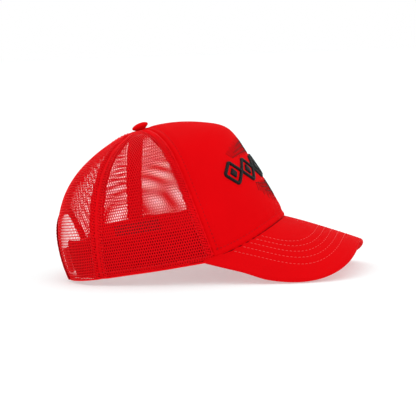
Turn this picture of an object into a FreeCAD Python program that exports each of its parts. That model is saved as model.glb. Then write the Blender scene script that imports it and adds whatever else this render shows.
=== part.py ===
"""Trucker cap: foam-backed front panel, four mesh panels, curved visor and a two-part snap strap.

Everything is modelled in the head frame: millimetres, +X forward, +Y to the wearer's left, hem plane
at z = 0. REST then tilts the finished pieces the way the cap stands on a table, on its back hem and
its visor edges, with the origin at the bottom centre of the whole cap's box.
"""
import FreeCAD, Part
import math
import os

Vector = FreeCAD.Vector

# ---- driving dimensions ----
# hem outline: superellipses about the widest point
HEM_FRONT = 105.0
HEM_BACK = 99.5
HEM_HALF_WIDTH = 82.0
FRONT_POWER = 2.0
BACK_POWER = 2.9
# crown meridians as spline control points: (distance from the apex axis, height)
APEX_X = -17.0
FRONT_MERIDIAN = [(122, 0), (118, 10), (112, 27), (100.5, 58), (88, 84),
                  (79.5, 108.5), (59.5, 114.5), (36, 120), (14, 120.5), (0, 118.5)]
SIDE_MERIDIAN = [(82, 0), (84, 10), (86, 27), (85, 52), (79, 76),
                 (67, 95), (50, 107), (31, 115), (13, 118.5), (0, 118.5)]
BACK_MERIDIAN = [(82.5, 0), (85, 10), (87, 27), (85, 50), (77, 70),
                 (64, 87), (48, 100), (29, 111), (12, 117.5), (0, 118.5)]
# seams, as angles from the front
FRONT_SEAM_HEM = 59.5
FRONT_SEAM_BULGE = 8.5
FRONT_SEAM_PEAK = 0.58
BACK_SEAM_TOP = 120.0
BACK_SEAM_LEAN = 6.8
SEAM_GAP = 0.3
APEX_RING = 4.0
# cloth and foam
FABRIC = 1.0
FOAM_THIN = 0.8
FOAM_EXTRA = 2.2
FOAM_RAMP = 16.0
LINING = 0.5
MESH = 0.9
TAPE = 0.8
TAPE_HALF_WIDTH = 7.0
TAPE_GAP = 0.25
TAPE_LEAN = 0.13
# visor
JOINT_HEIGHT = 21.3
JOINT_GAP = 0.2
VISOR_SLOPE = math.radians(22.5)
VISOR_DROOP = 0.0011
VISOR_BEND = 90.7
VISOR_BEND_GROWTH = 0.02
VISOR_REACH = 63.0
VISOR_SQUARE_FROM = 34.0
VISOR_HALF_WIDTH = 79.6
VISOR_WAIST = 1.1
VISOR_POWER = 3.2
VISOR_CORNER = 66.0
VISOR_COVER = 0.9
VISOR_BOARD = 2.2
VISOR_HEM = 1.2
BOARD_GAP = 0.04
VISOR_TUCK = 1.2
# rear opening
ARCH_HALF_WIDTH = 41.0
ARCH_SPRING = 14.0
BINDING_WIDTH = 6.0
BINDING_CLOTH = 0.7
BINDING_GAP = 0.12
# sweatband
BAND_HEIGHT = 33.0
BAND_FACE = 0.9
BAND_FOAM = 0.9
BAND_END = 151.5
# the band's depth below the crown's face, by angle from the front: it clears the foam and the strap's tabs
BAND_DEPTHS = [(0.0, 5.0), (58.0, 5.0), (75.0, 2.4), (128.0, 2.4), (140.0, 5.8), (151.5, 6.8), (180.0, 6.8)]
# snap strap
STRAP_HEIGHT = 22.0
STRAP_BOTTOM = 7.0
STRAP_THICKNESS = 1.4
STRAP_FACE_X = -91.9
STRAP_LAP_GAP = 0.3
STRAP_HINGE_Y = 38.5
STRAP_TIP_Y = 24.0
SNAP_PITCH = 9.0
SNAP_COUNT = 6
SNAP_FIRST_Y = -18.0
PEG_RADIUS = 2.0
PEG_HEIGHT = 2.0
HOLE_RADIUS = 2.15
HINGE_CLEARANCE = 0.3
TAB_END_Y = 57.0
TAB_DEPTH = 2.3
# button
BUTTON_RADIUS = 7.4
BUTTON_HEIGHT = 4.6
BUTTON_TILT = 13.0
# how the cap stands
REST_TILT = 7.9
REST_SHIFT = Vector(-26.37, 0.0, 13.73)

REST = FreeCAD.Placement(REST_SHIFT, FreeCAD.Rotation(Vector(0, 1, 0), -REST_TILT))
os.makedirs("parts", exist_ok=True)


def smooth(x):
    x = min(max(x, 0.0), 1.0)
    return x * x * (3.0 - 2.0 * x)


def blend(table, x):
    """Smooth interpolation through (x, value) pairs."""
    for (x0, v0), (x1, v1) in zip(table, table[1:]):
        if x <= x1:
            return v0 + (v1 - v0) * smooth((x - x0) / (x1 - x0))
    return table[-1][1]


def spread(first, last, count):
    return [first + (last - first) * i / (count - 1) for i in range(count)]


def solve(test, low, high, rounds=40):
    """Where test turns from true to false between low and high."""
    for _ in range(rounds):
        middle = (low + high) / 2.0
        if test(middle):
            low = middle
        else:
            high = middle
    return low


# ---- crown surface ----
def spline_weights(count, t):
    """Clamped cubic B-spline weights at t in 0..1."""
    knots = [0.0] * 3 + spread(0.0, 1.0, count - 2) + [1.0] * 3
    t = min(max(t, 0.0), 1.0 - 1e-12)
    w = [1.0 if knots[i] <= t < knots[i + 1] else 0.0 for i in range(len(knots) - 1)]
    for degree in (1, 2, 3):
        raised = []
        for i in range(len(w) - 1):
            left = knots[i + degree] - knots[i]
            right = knots[i + degree + 1] - knots[i + 1]
            value = (t - knots[i]) / left * w[i] if left > 0 else 0.0
            value += (knots[i + degree + 1] - t) / right * w[i + 1] if right > 0 else 0.0
            raised.append(value)
        w = raised
    return w


def hem_point(theta):
    c, s = math.cos(theta), math.sin(theta)
    half, power = (HEM_FRONT, FRONT_POWER) if c >= 0 else (HEM_BACK, BACK_POWER)
    r = (abs(c / half) ** power + abs(s / HEM_HALF_WIDTH) ** power) ** (-1.0 / power)
    return r * c, r * s


def crown(theta, t):
    """Point on the crown's outer face; t runs from the hem plane (0) to the apex (1)."""
    front = max(math.cos(theta), 0.0) ** 2
    back = max(-math.cos(theta), 0.0) ** 2
    side = 1.0 - front - back
    share = height = 0.0
    rows = zip(spline_weights(len(FRONT_MERIDIAN), t), FRONT_MERIDIAN, SIDE_MERIDIAN, BACK_MERIDIAN)
    for weight, f, s, b in rows:
        share += weight * (front * f[0] / FRONT_MERIDIAN[0][0] + side * s[0] / SIDE_MERIDIAN[0][0]
                           + back * b[0] / BACK_MERIDIAN[0][0])
        height += weight * (front * f[1] + side * s[1] + back * b[1])
    x, y = hem_point(theta)
    return Vector(APEX_X + share * (x - APEX_X), share * y, height)


def crown_normal(theta, t):
    step = 1e-3
    across = crown(theta + step, t) - crown(theta - step, t)
    up = crown(theta, min(t + step, 0.999)) - crown(theta, max(t - step, 0.0))
    return across.cross(up).normalize()


def wall(theta, t, depth):
    """Point at a depth below the crown's outer face (negative stands proud)."""
    return crown(theta, t) - crown_normal(theta, t) * depth


def t_at_height(theta, height):
    return solve(lambda t: crown(theta, t).z < height, 0.0, 0.6)


def t_at_ring(theta, radius):
    def outside(t):
        p = crown(theta, t)
        return math.hypot(p.x - APEX_X, p.y) > radius
    return solve(outside, 0.6, 1.0)


def front_seam(t):
    """Angle of the seam between the front panel and the side mesh."""
    from_peak = (t - FRONT_SEAM_PEAK) / FRONT_SEAM_PEAK
    return math.radians(FRONT_SEAM_HEM + FRONT_SEAM_BULGE * (1 - from_peak ** 2))


def back_seam(t):
    """Angle of the seam between the side mesh and the back mesh; it leans back towards the hem."""
    return math.radians(BACK_SEAM_TOP + BACK_SEAM_LEAN * (1.0 - t) ** 2)


# ---- visor surface ----
JOINT_X = crown(0.0, t_at_height(0.0, JOINT_HEIGHT)).x


def visor_height(x, y):
    """Height of the visor's top face."""
    ahead = x - JOINT_X
    bend = VISOR_BEND + VISOR_BEND_GROWTH * ahead
    sag = bend - math.sqrt(max(bend * bend - y * y, 1.0))
    return JOINT_HEIGHT - ahead * math.tan(VISOR_SLOPE) - VISOR_DROOP * max(ahead, 0.0) ** 2 - sag


def joint_t(theta, depth=0.0):
    """Where a layer at this depth ends below: on the visor in front, on the hem plane elsewhere."""
    corner = math.radians(VISOR_CORNER + 8.0)
    if abs(theta) > corner:
        return 0.0

    def below(t):
        p = wall(theta, t, depth)
        return p.z < max(visor_height(p.x, p.y) + JOINT_GAP, 0.0)
    return solve(below, 0.0, 0.6)


def visor_edge(share):
    """Plan point on the visor's outer edge, share -1..1 from corner to corner."""
    centre = JOINT_X - VISOR_SQUARE_FROM
    reach = VISOR_REACH + VISOR_SQUARE_FROM
    side = 1.0 if share >= 0 else -1.0
    corner = crown(math.radians(VISOR_CORNER), 0.0)
    bow = 0.78
    if abs(share) <= bow:
        psi = share / bow * math.pi / 2
        c, s = math.cos(psi), abs(math.sin(psi))
        r = ((c / reach) ** VISOR_POWER + (s / VISOR_HALF_WIDTH) ** VISOR_POWER) ** (-1.0 / VISOR_POWER)
        waist = VISOR_WAIST * (1.0 - smooth(r * c / 24.0)) * s
        return centre + r * c, side * (r * s - waist)
    run = (abs(share) - bow) / (1.0 - bow)
    half_width = VISOR_HALF_WIDTH - VISOR_WAIST - 0.3 * run * run
    return centre + (corner.x - 1.0 - centre) * run, side * half_width


def visor_root(theta):
    """Plan point where the visor's seam allowance ends, tucked inside the crown wall."""
    def below(t):
        p = wall(theta, t, VISOR_TUCK)
        return p.z < visor_height(p.x, p.y)
    p = wall(theta, solve(below, 0.0, 0.6), VISOR_TUCK)
    return p.x, p.y


def visor_point(share, run, depth, margin=0.0):
    """Point on the visor; run 0 at the tucked root, 1 at the edge, pulled in by margin."""
    x0, y0 = visor_root(share * math.radians(VISOR_CORNER))
    x1, y1 = visor_edge(share)
    length = math.hypot(x1 - x0, y1 - y0)
    run = run * (1.0 - margin * min(1.0, length / 8.0) / length)
    x, y = x0 + (x1 - x0) * run, y0 + (y1 - y0) * run
    step = 0.05
    slope_x = (visor_height(x + step, y) - visor_height(x - step, y)) / (2 * step)
    slope_y = (visor_height(x, y + step) - visor_height(x, y - step)) / (2 * step)
    normal = Vector(-slope_x, -slope_y, 1.0).normalize()
    return Vector(x, y, visor_height(x, y)) - normal * depth


# ---- solids ----
def sewn_solid(faces):
    shell = Part.makeShell(faces)
    shell.sewShape()
    solid = Part.makeSolid(shell)
    solid.fix(1e-4, 1e-4, 1e-4)
    if solid.Volume < 0:
        solid.reverse()
    return solid


def closed_layer(outer, inner):
    """Solid between two grids of points with the same rows and columns."""
    faces, skins = [], []
    for grid in (outer, inner):
        skin = Part.BSplineSurface()
        skin.interpolate(grid)
        skins.append(skin)
        faces.append(skin.toShape())
    u0, u1, v0, v1 = skins[0].bounds()
    a0, a1, b0, b1 = skins[1].bounds()
    for first, second in ((u0, a0), (u1, a1)):
        faces.append(Part.makeRuledSurface(skins[0].uIso(first).toShape(), skins[1].uIso(second).toShape()))
    for first, second in ((v0, b0), (v1, b1)):
        faces.append(Part.makeRuledSurface(skins[0].vIso(first).toShape(), skins[1].vIso(second).toShape()))
    return sewn_solid(faces)


def crown_layer(columns, rows, place, outer_depth, inner_depth):
    """Layer of the crown; place(u, v, depth) gives theta and t, the depths may vary with them."""
    grids = []
    for depth in (outer_depth, inner_depth):
        hem_depth = depth(*place(0.0, 0.0, 0.0))
        grid = []
        for v in rows:
            spots = [place(u, v, hem_depth) for u in columns]
            grid.append([wall(theta, t, depth(theta, t)) for theta, t in spots])
        grids.append(grid)
    return closed_layer(*grids)


def export(name, shape):
    placed = shape.copy()
    placed.Placement = REST.multiply(placed.Placement)
    placed.exportStep("parts/" + name + ".step")
    ALL_PIECES.append(placed)
    print(name, "valid" if shape.isValid() else "INVALID", len(shape.Solids), round(shape.Volume, 1))


ALL_PIECES = []
FRONT_ROWS = [0.0, 0.025, 0.055, 0.09, 0.13, 0.18, 0.25, 0.33, 0.41, 0.49, 0.56, 0.62, 0.68, 0.74, 0.8,
              0.86, 0.91, 0.95, 0.98, 1.0]
HALF_COLUMNS = [1.0, 0.98, 0.95, 0.915, 0.875, 0.83, 0.77, 0.68, 0.54, 0.37, 0.18]
VISOR_SHARES = spread(-1.0, 1.0, 25)
VISOR_RUNS = spread(0.0, 1.0, 7)
SIDE_ROWS = [0.0, 0.08, 0.18, 0.3, 0.42, 0.54, 0.66, 0.77, 0.86, 0.93, 1.0]


# ---- front panel ----
def front_place(u, v, depth):
    """u -1..1 from seam to seam, v 0..1 from the visor joint to the apex ring."""
    theta = u * front_seam(v)
    for _ in range(3):
        low, high = joint_t(theta, depth), t_at_ring(theta, APEX_RING)
        t = low + (high - low) * v
        edge = front_seam(t) - SEAM_GAP / max(crown(theta, t).sub(Vector(APEX_X, 0, 0)).x, 40.0)
        theta = u * edge
    return theta, t


def foam_fullness(theta, t):
    """0 at the panel's edges, 1 where the foam has its full thickness."""
    p = crown(theta, t)
    seam = min((p - crown(side * front_seam(t), t)).Length for side in (-1.0, 1.0))
    bottom = (p - crown(theta, joint_t(theta))).Length
    top = math.hypot(p.x - APEX_X, p.y)
    return smooth(min(seam, bottom, top) / FOAM_RAMP)


def foam_back(theta, t):
    return FABRIC + FOAM_THIN + FOAM_EXTRA * foam_fullness(theta, t)


def front_panel():
    columns = [-u for u in HALF_COLUMNS] + [0.0] + HALF_COLUMNS[::-1]
    layers = (("front_panel_fabric", lambda a, t: 0.0, lambda a, t: FABRIC),
              ("front_panel_foam", lambda a, t: FABRIC, foam_back),
              ("front_panel_lining", foam_back, lambda a, t: foam_back(a, t) + LINING))
    for name, outer, inner in layers:
        export(name, crown_layer(columns, FRONT_ROWS, front_place, outer, inner))


# ---- mesh panels ----
def panel_place(side, edge_front, edge_back):
    def place(u, v, depth):
        theta = side * (edge_front(v) * (1 - u) + edge_back(v) * u)
        for _ in range(3):
            low, high = joint_t(theta, depth), t_at_ring(theta, APEX_RING)
            t = low + (high - low) * v
            theta = side * (edge_front(t) * (1 - u) + edge_back(t) * u)
        return theta, t
    return place


def gap_angle(t):
    """Half the seam gap as an angle at the height of t."""
    p = crown(math.radians(90.0), t)
    return SEAM_GAP / max(p.y, 12.0)


def arch_cutter(grow):
    """Prism through the back wall with the outline of the rear opening, grown by grow."""
    half = ARCH_HALF_WIDTH + grow
    x = -120.0
    low = -10.0
    corners = [Vector(x, -half, low), Vector(x, -half, ARCH_SPRING)]
    crest = Vector(x, 0, ARCH_SPRING + half)
    ends = [Vector(x, half, ARCH_SPRING), Vector(x, half, low)]
    wire = Part.Wire([Part.LineSegment(corners[0], corners[1]).toShape(),
                      Part.Arc(corners[1], crest, ends[0]).toShape(),
                      Part.LineSegment(ends[0], ends[1]).toShape(),
                      Part.LineSegment(ends[1], corners[0]).toShape()])
    return Part.Face(wire).extrude(Vector(70.0, 0, 0))


def mesh_panels():
    flat = (lambda a, t: 0.0, lambda a, t: MESH)
    columns = spread(0.0, 1.0, 9)
    for word, side in (("right", -1.0), ("left", 1.0)):
        place = panel_place(side, lambda t: front_seam(t) + gap_angle(t),
                            lambda t: back_seam(t) - gap_angle(t))
        export("mesh_side_" + word, crown_layer(columns, SIDE_ROWS, place, *flat))
        place = panel_place(side, lambda t: back_seam(t) + gap_angle(t),
                            lambda t: math.pi - gap_angle(t))
        back = crown_layer(columns, SIDE_ROWS, place, *flat)
        export("mesh_back_" + word, back.cut(arch_cutter(BINDING_CLOTH + 0.1)))


# ---- tapes over the seams, inside ----
def tape(side, seam, rows, depths):
    """Tape along a seam; depths(s) is the depth of its outer face at s mm from the seam."""
    columns = spread(-TAPE_HALF_WIDTH, TAPE_HALF_WIDTH, 15)
    grids = []
    for extra in (0.0, TAPE):
        grid = []
        for t in rows:
            theta = side * seam(t)
            rate = (crown(theta + 1e-3, t) - crown(theta - 1e-3, t)).Length / 2e-3
            grid.append([wall(theta - side * s / rate, t, depths(s) + extra) for s in columns])
        grids.append(grid)
    return closed_layer(*grids)


def tapes():
    def over_foam(s):
        return TAPE_GAP + FABRIC + FOAM_THIN + LINING + TAPE_LEAN * s

    def over_mesh(s):
        return TAPE_GAP + MESH

    for word, side in (("right", -1.0), ("left", 1.0)):
        rows = spread(joint_t(front_seam(0.0)) + 0.03, 0.94, 21)
        export("seam_tape_front_" + word, tape(side, front_seam, rows, over_foam))
        rows = spread(0.01, 0.93, 21)
        export("seam_tape_back_" + word, tape(side, back_seam, rows, over_mesh))
    top = ARCH_SPRING + ARCH_HALF_WIDTH + BINDING_WIDTH + 0.6
    rows = spread(t_at_height(math.pi, top), 0.93, 11)
    export("seam_tape_centre_back", tape(1.0, lambda t: math.pi, rows, over_mesh))


# ---- binding round the rear opening ----
def crown_at(y, z):
    """theta and t of the point on the back of the crown with this y and z."""
    theta, t = math.pi - math.asin(max(min(y / 95.0, 1.0), -1.0)), z / 130.0
    for _ in range(25):
        p = crown(theta, t)
        step = 1e-4
        by_theta = (crown(theta + step, t) - p) * (1.0 / step)
        by_t = (crown(theta, t + step) - p) * (1.0 / step)
        det = by_theta.y * by_t.z - by_theta.z * by_t.y
        dy, dz = y - p.y, z - p.z
        theta += (dy * by_t.z - dz * by_t.y) / det
        t += (dz * by_theta.y - dy * by_theta.z) / det
    return theta, t


def arch_stations():
    """Points round the opening as (y, z, outward y, outward z)."""
    stations = [(-ARCH_HALF_WIDTH, z, -1.0, 0.0) for z in spread(1.0, ARCH_SPRING - 4.0, 3)]
    for angle in spread(180.0, 0.0, 19):
        c, s = math.cos(math.radians(angle)), math.sin(math.radians(angle))
        stations.append((ARCH_HALF_WIDTH * c, ARCH_SPRING + ARCH_HALF_WIDTH * s, c, s))
    stations += [(ARCH_HALF_WIDTH, z, 1.0, 0.0) for z in spread(ARCH_SPRING - 4.0, 1.0, 3)]
    return stations


def binding():
    """Bias tape folded round the mesh edge: an outer leaf, the fold and an inner leaf."""
    c, w = BINDING_CLOTH, BINDING_WIDTH
    # the folded section as (distance from the opening, depth), in order round its outline
    gap = BINDING_GAP
    section = [(0, -c - gap), (w, -c - gap), (w, -gap), (c, -gap),
               (c, MESH + gap), (w, MESH + gap), (w, MESH + gap + c), (0, MESH + gap + c)]
    end_quads = ((0, 1, 2, 3), (0, 3, 4, 7), (7, 4, 5, 6))
    rails = [[] for _ in section]
    for y, z, oy, oz in arch_stations():
        for rail, (s, depth) in zip(rails, section):
            theta, t = crown_at(y + oy * s, z + oz * s)
            rail.append(wall(theta, t, depth))
    edges = []
    for rail in rails:
        curve = Part.BSplineCurve()
        curve.interpolate(rail)
        edges.append(curve.toShape())
    faces = [Part.makeRuledSurface(edges[i], edges[(i + 1) % len(edges)]) for i in range(len(edges))]
    for end in (0, -1):
        for quad in end_quads:
            p, q, r, s = (rails[i][end] for i in quad)
            near, far = Part.LineSegment(p, s), Part.LineSegment(q, r)
            faces.append(Part.makeRuledSurface(near.toShape(), far.toShape()))
    export("arch_binding", sewn_solid(faces))


# ---- sweatband ----
def band_depth(theta):
    return blend(BAND_DEPTHS, abs(math.degrees(theta)))


def band_place(u, v, _):
    theta = math.radians(BAND_END) * u
    low = joint_t(theta)
    ahead = smooth((VISOR_CORNER + 6 - abs(math.degrees(theta))) / 8)
    bottom = max(crown(theta, low).z - 3.6 * ahead, 1.0)
    top = bottom + BAND_HEIGHT - 1.0 - 2.0 * math.cos(theta)
    return theta, t_at_height(theta, bottom + (top - bottom) * v)


def sweatband():
    columns = spread(-1.0, 1.0, 41)
    rows = spread(0.0, 1.0, 4)
    layers = (("sweatband_foam", 0.0, BAND_FOAM), ("sweatband_face", BAND_FOAM, BAND_FOAM + BAND_FACE))
    for name, start, end in layers:
        export(name, crown_layer(columns, rows, band_place,
                                 lambda a, t: band_depth(a) + start, lambda a, t: band_depth(a) + end))


# ---- visor ----
def visor_sheet(top, bottom, margin):
    """Plain layer of the visor between two depths."""
    grids = []
    for depth in (top, bottom):
        grids.append([[visor_point(s, r, depth, margin) for s in VISOR_SHARES] for r in VISOR_RUNS])
    return closed_layer(*grids)


def visor_cover_with_rim(thick, rim_depth, rim_width):
    """Top cloth whose edge turns down round the board."""
    skins = []
    for depth, margin in ((0.0, 0.0), (thick, rim_width)):
        skin = Part.BSplineSurface()
        skin.interpolate([[visor_point(s, r, depth, margin) for s in VISOR_SHARES] for r in VISOR_RUNS])
        skins.append(skin)
    outer, inner = skins
    rims = []
    for margin in (0.0, rim_width):
        curve = Part.BSplineCurve()
        curve.interpolate([visor_point(s, 1.0, rim_depth, margin) for s in VISOR_SHARES])
        rims.append(curve.toShape())
    u0, u1, v0, v1 = outer.bounds()
    a0, a1, b0, b1 = inner.bounds()
    outer_rim, inner_rim = outer.uIso(u1).toShape(), inner.uIso(a1).toShape()
    faces = [outer.toShape(), inner.toShape(),
             Part.makeRuledSurface(outer.uIso(u0).toShape(), inner.uIso(a0).toShape()),
             Part.makeRuledSurface(outer_rim, rims[0]),
             Part.makeRuledSurface(rims[0], rims[1]),
             Part.makeRuledSurface(inner_rim, rims[1])]
    for share, v, b in ((-1.0, v0, b0), (1.0, v1, b1)):
        faces.append(Part.makeRuledSurface(outer.vIso(v).toShape(), inner.vIso(b).toShape()))
        upper = Part.LineSegment(visor_point(share, 1.0, thick, rim_width), visor_point(share, 1.0, 0.0))
        lower = Part.LineSegment(visor_point(share, 1.0, rim_depth, rim_width),
                                 visor_point(share, 1.0, rim_depth))
        faces.append(Part.makeRuledSurface(upper.toShape(), lower.toShape()))
    return sewn_solid(faces)


def visor():
    under = VISOR_COVER + VISOR_BOARD
    export("visor_top_cover", visor_cover_with_rim(VISOR_COVER, under - 0.1, VISOR_HEM - 0.2))
    export("visor_board", visor_sheet(VISOR_COVER + BOARD_GAP, under - BOARD_GAP, VISOR_HEM))
    export("visor_under_cover", visor_sheet(under, under + VISOR_COVER, 0.0))


# ---- button ----
BUTTON_SEAT = Vector(APEX_X + 0.4, 0, crown(0.0, 1.0).z + 1.0)


def turned(profile):
    """Solid of revolution about the button's axis from (radius, height) points."""
    points = [Vector(r, 0, z) for r, z in profile]
    face = Part.Face(Part.makePolygon(points + points[:1]))
    solid = face.revolve(Vector(0, 0, 0), Vector(0, 0, 1), 360)
    solid.Placement = FreeCAD.Placement(BUTTON_SEAT, FreeCAD.Rotation(Vector(0, 1, 0), -BUTTON_TILT))
    return solid


def dome(radius, height, rim, steps):
    """Quarter of a flattened dome from its centre to its rim, as (radius, height) points."""
    points = []
    for i in range(steps + 1):
        a = math.pi / 2 * i / steps
        points.append((radius * math.sin(a), rim + (height - rim) * math.cos(a)))
    return points


def button():
    rim, cloth, tin = 1.7, 0.7, 0.5
    outer = dome(BUTTON_RADIUS, BUTTON_HEIGHT, rim, 10)
    middle = dome(BUTTON_RADIUS - cloth, BUTTON_HEIGHT - cloth, rim, 10)
    inner = dome(BUTTON_RADIUS - cloth - tin, BUTTON_HEIGHT - cloth - tin, rim, 10)
    skirt = [(BUTTON_RADIUS - 0.4, 0.7), (BUTTON_RADIUS - cloth - 0.6, 0.4), (BUTTON_RADIUS - cloth, 1.2)]
    export("button_cover", turned(outer + skirt + middle[::-1]))
    inside = [(BUTTON_RADIUS - cloth - tin, 1.2), (BUTTON_RADIUS - cloth, 1.2)]
    export("button_shell", turned(middle + inside[::-1] + inner[::-1]))
    top = BUTTON_HEIGHT - cloth - tin
    post = [(0, top), (3.2, top - 0.5), (3.2, top - 1.2), (1.1, top - 1.2), (1.1, -6.0), (0, -6.0)]
    export("button_post", turned(post))
    export("button_washer", turned([(1.2, -4.9), (5.0, -4.9), (5.0, -5.5), (1.2, -5.5)]))


# ---- snap strap ----
def rounded_strap(face_x, side, tip_y):
    """Strap with a round hinge end at side * STRAP_HINGE_Y and a round-cornered tip."""
    t = STRAP_THICKNESS
    hinge = side * STRAP_HINGE_Y
    low, high = min(hinge, tip_y), max(hinge, tip_y)
    body = Part.makeBox(t, high - low, STRAP_HEIGHT, Vector(face_x, low, STRAP_BOTTOM))
    tip_edges = []
    for edge in body.Edges:
        c = edge.CenterOfMass
        across = abs(edge.Vertexes[0].X - edge.Vertexes[-1].X) > t / 2
        if across and abs(c.y - tip_y) < 0.1:
            tip_edges.append(edge)
    body = body.makeFillet(5.0, tip_edges)
    knuckle = Part.makeCylinder(t / 2, STRAP_HEIGHT, Vector(face_x + t / 2, hinge, STRAP_BOTTOM))
    return body.fuse(knuckle).removeSplitter()


def snap_rows(side):
    """Snap centres along one strap; five of the six sit over each other."""
    return [side * (SNAP_FIRST_Y + SNAP_PITCH * i) for i in range(SNAP_COUNT)]


def strap_tab(side, face_x, jog):
    """The strap's sewn end: follows the wall from the hinge to TAB_END_Y."""
    t = STRAP_THICKNESS
    start = STRAP_HINGE_Y + t / 2 + HINGE_CLEARANCE
    heights = [STRAP_BOTTOM, STRAP_BOTTOM + STRAP_HEIGHT / 2, STRAP_BOTTOM + STRAP_HEIGHT]
    grids = []
    for extra in (0.0, t):
        grid = []
        for z in heights:
            row = []
            for y in spread(start, TAB_END_Y, 7):
                theta, tt = crown_at(side * y, z)
                on_wall = wall(theta, tt, TAB_DEPTH + extra)
                straight = Vector(face_x + extra, side * y, z)
                share = smooth((y - start) / jog)
                row.append(straight * (1.0 - share) + on_wall * share)
            grid.append(row)
        grids.append(grid)
    return closed_layer(*grids)


def straps():
    t = STRAP_THICKNESS
    centre_z = STRAP_BOTTOM + STRAP_HEIGHT / 2
    inner_x = STRAP_FACE_X + t + STRAP_LAP_GAP
    holes = rounded_strap(STRAP_FACE_X, -1.0, STRAP_TIP_Y)
    for y in snap_rows(-1.0):
        bore = Part.makeCylinder(HOLE_RADIUS, 3 * t, Vector(STRAP_FACE_X - t, y, centre_z), Vector(1, 0, 0))
        holes = holes.cut(bore)
    export("strap_holes", holes)
    pegs = rounded_strap(inner_x, 1.0, -STRAP_TIP_Y)
    studs = []
    for y in snap_rows(1.0):
        stud = Part.makeCylinder(PEG_RADIUS, PEG_HEIGHT + t / 2, Vector(inner_x - PEG_HEIGHT, y, centre_z),
                                 Vector(1, 0, 0))
        rim = [edge for edge in stud.Edges if abs(edge.CenterOfMass.x - (inner_x - PEG_HEIGHT)) < 0.01]
        studs.append(stud.makeFillet(0.6, rim[:1]))
    export("strap_pegs", pegs.fuse(studs).removeSplitter())
    export("strap_holes_tab", strap_tab(-1.0, STRAP_FACE_X, 9.0))
    export("strap_pegs_tab", strap_tab(1.0, inner_x, 9.0))


# ---- trim ----
def patch(theta_from, theta_to, low, high, depth, thick, columns=9):
    """Thin piece lying on the crown between two angles and two heights."""
    def place(u, v, _):
        theta = math.radians(theta_from + (theta_to - theta_from) * u)
        return theta, t_at_height(theta, low + (high - low) * v)
    return crown_layer(spread(0, 1, columns), spread(0, 1, 4), place,
                       lambda a, t: depth(a), lambda a, t: depth(a) + thick)


def trim():
    on_band = BAND_FOAM + BAND_FACE + 0.35
    export("inner_label", patch(112.0, 137.5, 18.0, 31.5, lambda a: band_depth(a) + on_band, 0.5))
    export("care_label", patch(-100, -84, 4.0, 30.0, lambda a: band_depth(a) + on_band, 0.4))
    export("front_emblem", patch(-35, 35, 59.0, 80.0, lambda a: -2.1, 2.05, 15))


front_panel()
mesh_panels()
tapes()
binding()
sweatband()
visor()
button()
straps()
trim()

whole = Part.makeCompound(ALL_PIECES)
box = whole.optimalBoundingBox(True, False)
print("box", [round(v, 2) for v in (box.XMin, box.XMax, box.YMin, box.YMax, box.ZMin, box.ZMax)])
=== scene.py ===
"""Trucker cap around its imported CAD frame: cloth front, real open mesh, stitched visor, snap strap."""
import bmesh
import bpy
import math
import numpy as np
from mathutils import Matrix, Vector
from mathutils.geometry import delaunay_2d_cdt


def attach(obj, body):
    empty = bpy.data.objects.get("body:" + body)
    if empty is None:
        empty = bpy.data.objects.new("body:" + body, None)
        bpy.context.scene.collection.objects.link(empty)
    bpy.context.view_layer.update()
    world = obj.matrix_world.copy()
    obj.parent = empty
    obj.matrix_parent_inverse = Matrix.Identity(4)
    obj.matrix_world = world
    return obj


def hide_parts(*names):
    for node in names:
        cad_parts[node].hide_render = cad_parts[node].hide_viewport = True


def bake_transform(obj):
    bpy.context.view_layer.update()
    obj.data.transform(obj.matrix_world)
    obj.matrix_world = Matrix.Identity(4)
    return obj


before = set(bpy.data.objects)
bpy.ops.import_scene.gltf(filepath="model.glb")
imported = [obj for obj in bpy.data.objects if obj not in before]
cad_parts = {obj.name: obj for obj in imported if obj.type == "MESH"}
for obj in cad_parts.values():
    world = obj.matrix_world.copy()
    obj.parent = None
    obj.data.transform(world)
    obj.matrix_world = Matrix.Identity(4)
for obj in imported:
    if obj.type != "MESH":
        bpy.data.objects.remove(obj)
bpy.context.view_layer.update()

MM = 0.001
PI = math.pi

# ---- the crown and visor surfaces, in the head frame: millimetres, hem plane at z = 0, +X forward ----
HEM_FRONT, HEM_BACK, HEM_HALF_WIDTH = 105.0, 99.5, 82.0
FRONT_POWER, BACK_POWER = 2.0, 2.9
APEX_X = -17.0
FRONT_MERIDIAN = np.array([(122, 0), (118, 10), (112, 27), (100.5, 58), (88, 84),
                           (79.5, 108.5), (59.5, 114.5), (36, 120), (14, 120.5), (0, 118.5)])
SIDE_MERIDIAN = np.array([(82, 0), (84, 10), (86, 27), (85, 52), (79, 76),
                          (67, 95), (50, 107), (31, 115), (13, 118.5), (0, 118.5)])
BACK_MERIDIAN = np.array([(82.5, 0), (85, 10), (87, 27), (85, 50), (77, 70),
                          (64, 87), (48, 100), (29, 111), (12, 117.5), (0, 118.5)])
FRONT_SEAM_HEM, FRONT_SEAM_BULGE, FRONT_SEAM_PEAK = 59.5, 8.5, 0.58
BACK_SEAM_TOP, BACK_SEAM_LEAN = 120.0, 6.8
JOINT_HEIGHT = 21.3
VISOR_SLOPE, VISOR_DROOP = math.radians(22.5), 0.0011
VISOR_BEND, VISOR_BEND_GROWTH = 90.7, 0.02
VISOR_REACH, VISOR_SQUARE_FROM, VISOR_HALF_WIDTH, VISOR_WAIST, VISOR_POWER = 63.0, 34.0, 79.6, 1.1, 3.2
VISOR_CORNER = math.radians(66.0)
VISOR_THICK, VISOR_TUCK, JOINT_GAP = 4.0, 1.2, 0.2
ARCH_HALF_WIDTH, ARCH_SPRING, BINDING_WIDTH = 41.0, 14.0, 6.0
TAPE_HALF_WIDTH, TAPE_LEAN, TAPE_ROW = 7.0, 0.13, 4.6
BAND_HEIGHT, BAND_END = 33.0, math.radians(151.5)
BAND_DEPTHS = [(0.0, 5.0), (58.0, 5.0), (75.0, 2.4), (128.0, 2.4), (140.0, 5.8), (151.5, 6.8), (180.0, 6.8)]
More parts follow.
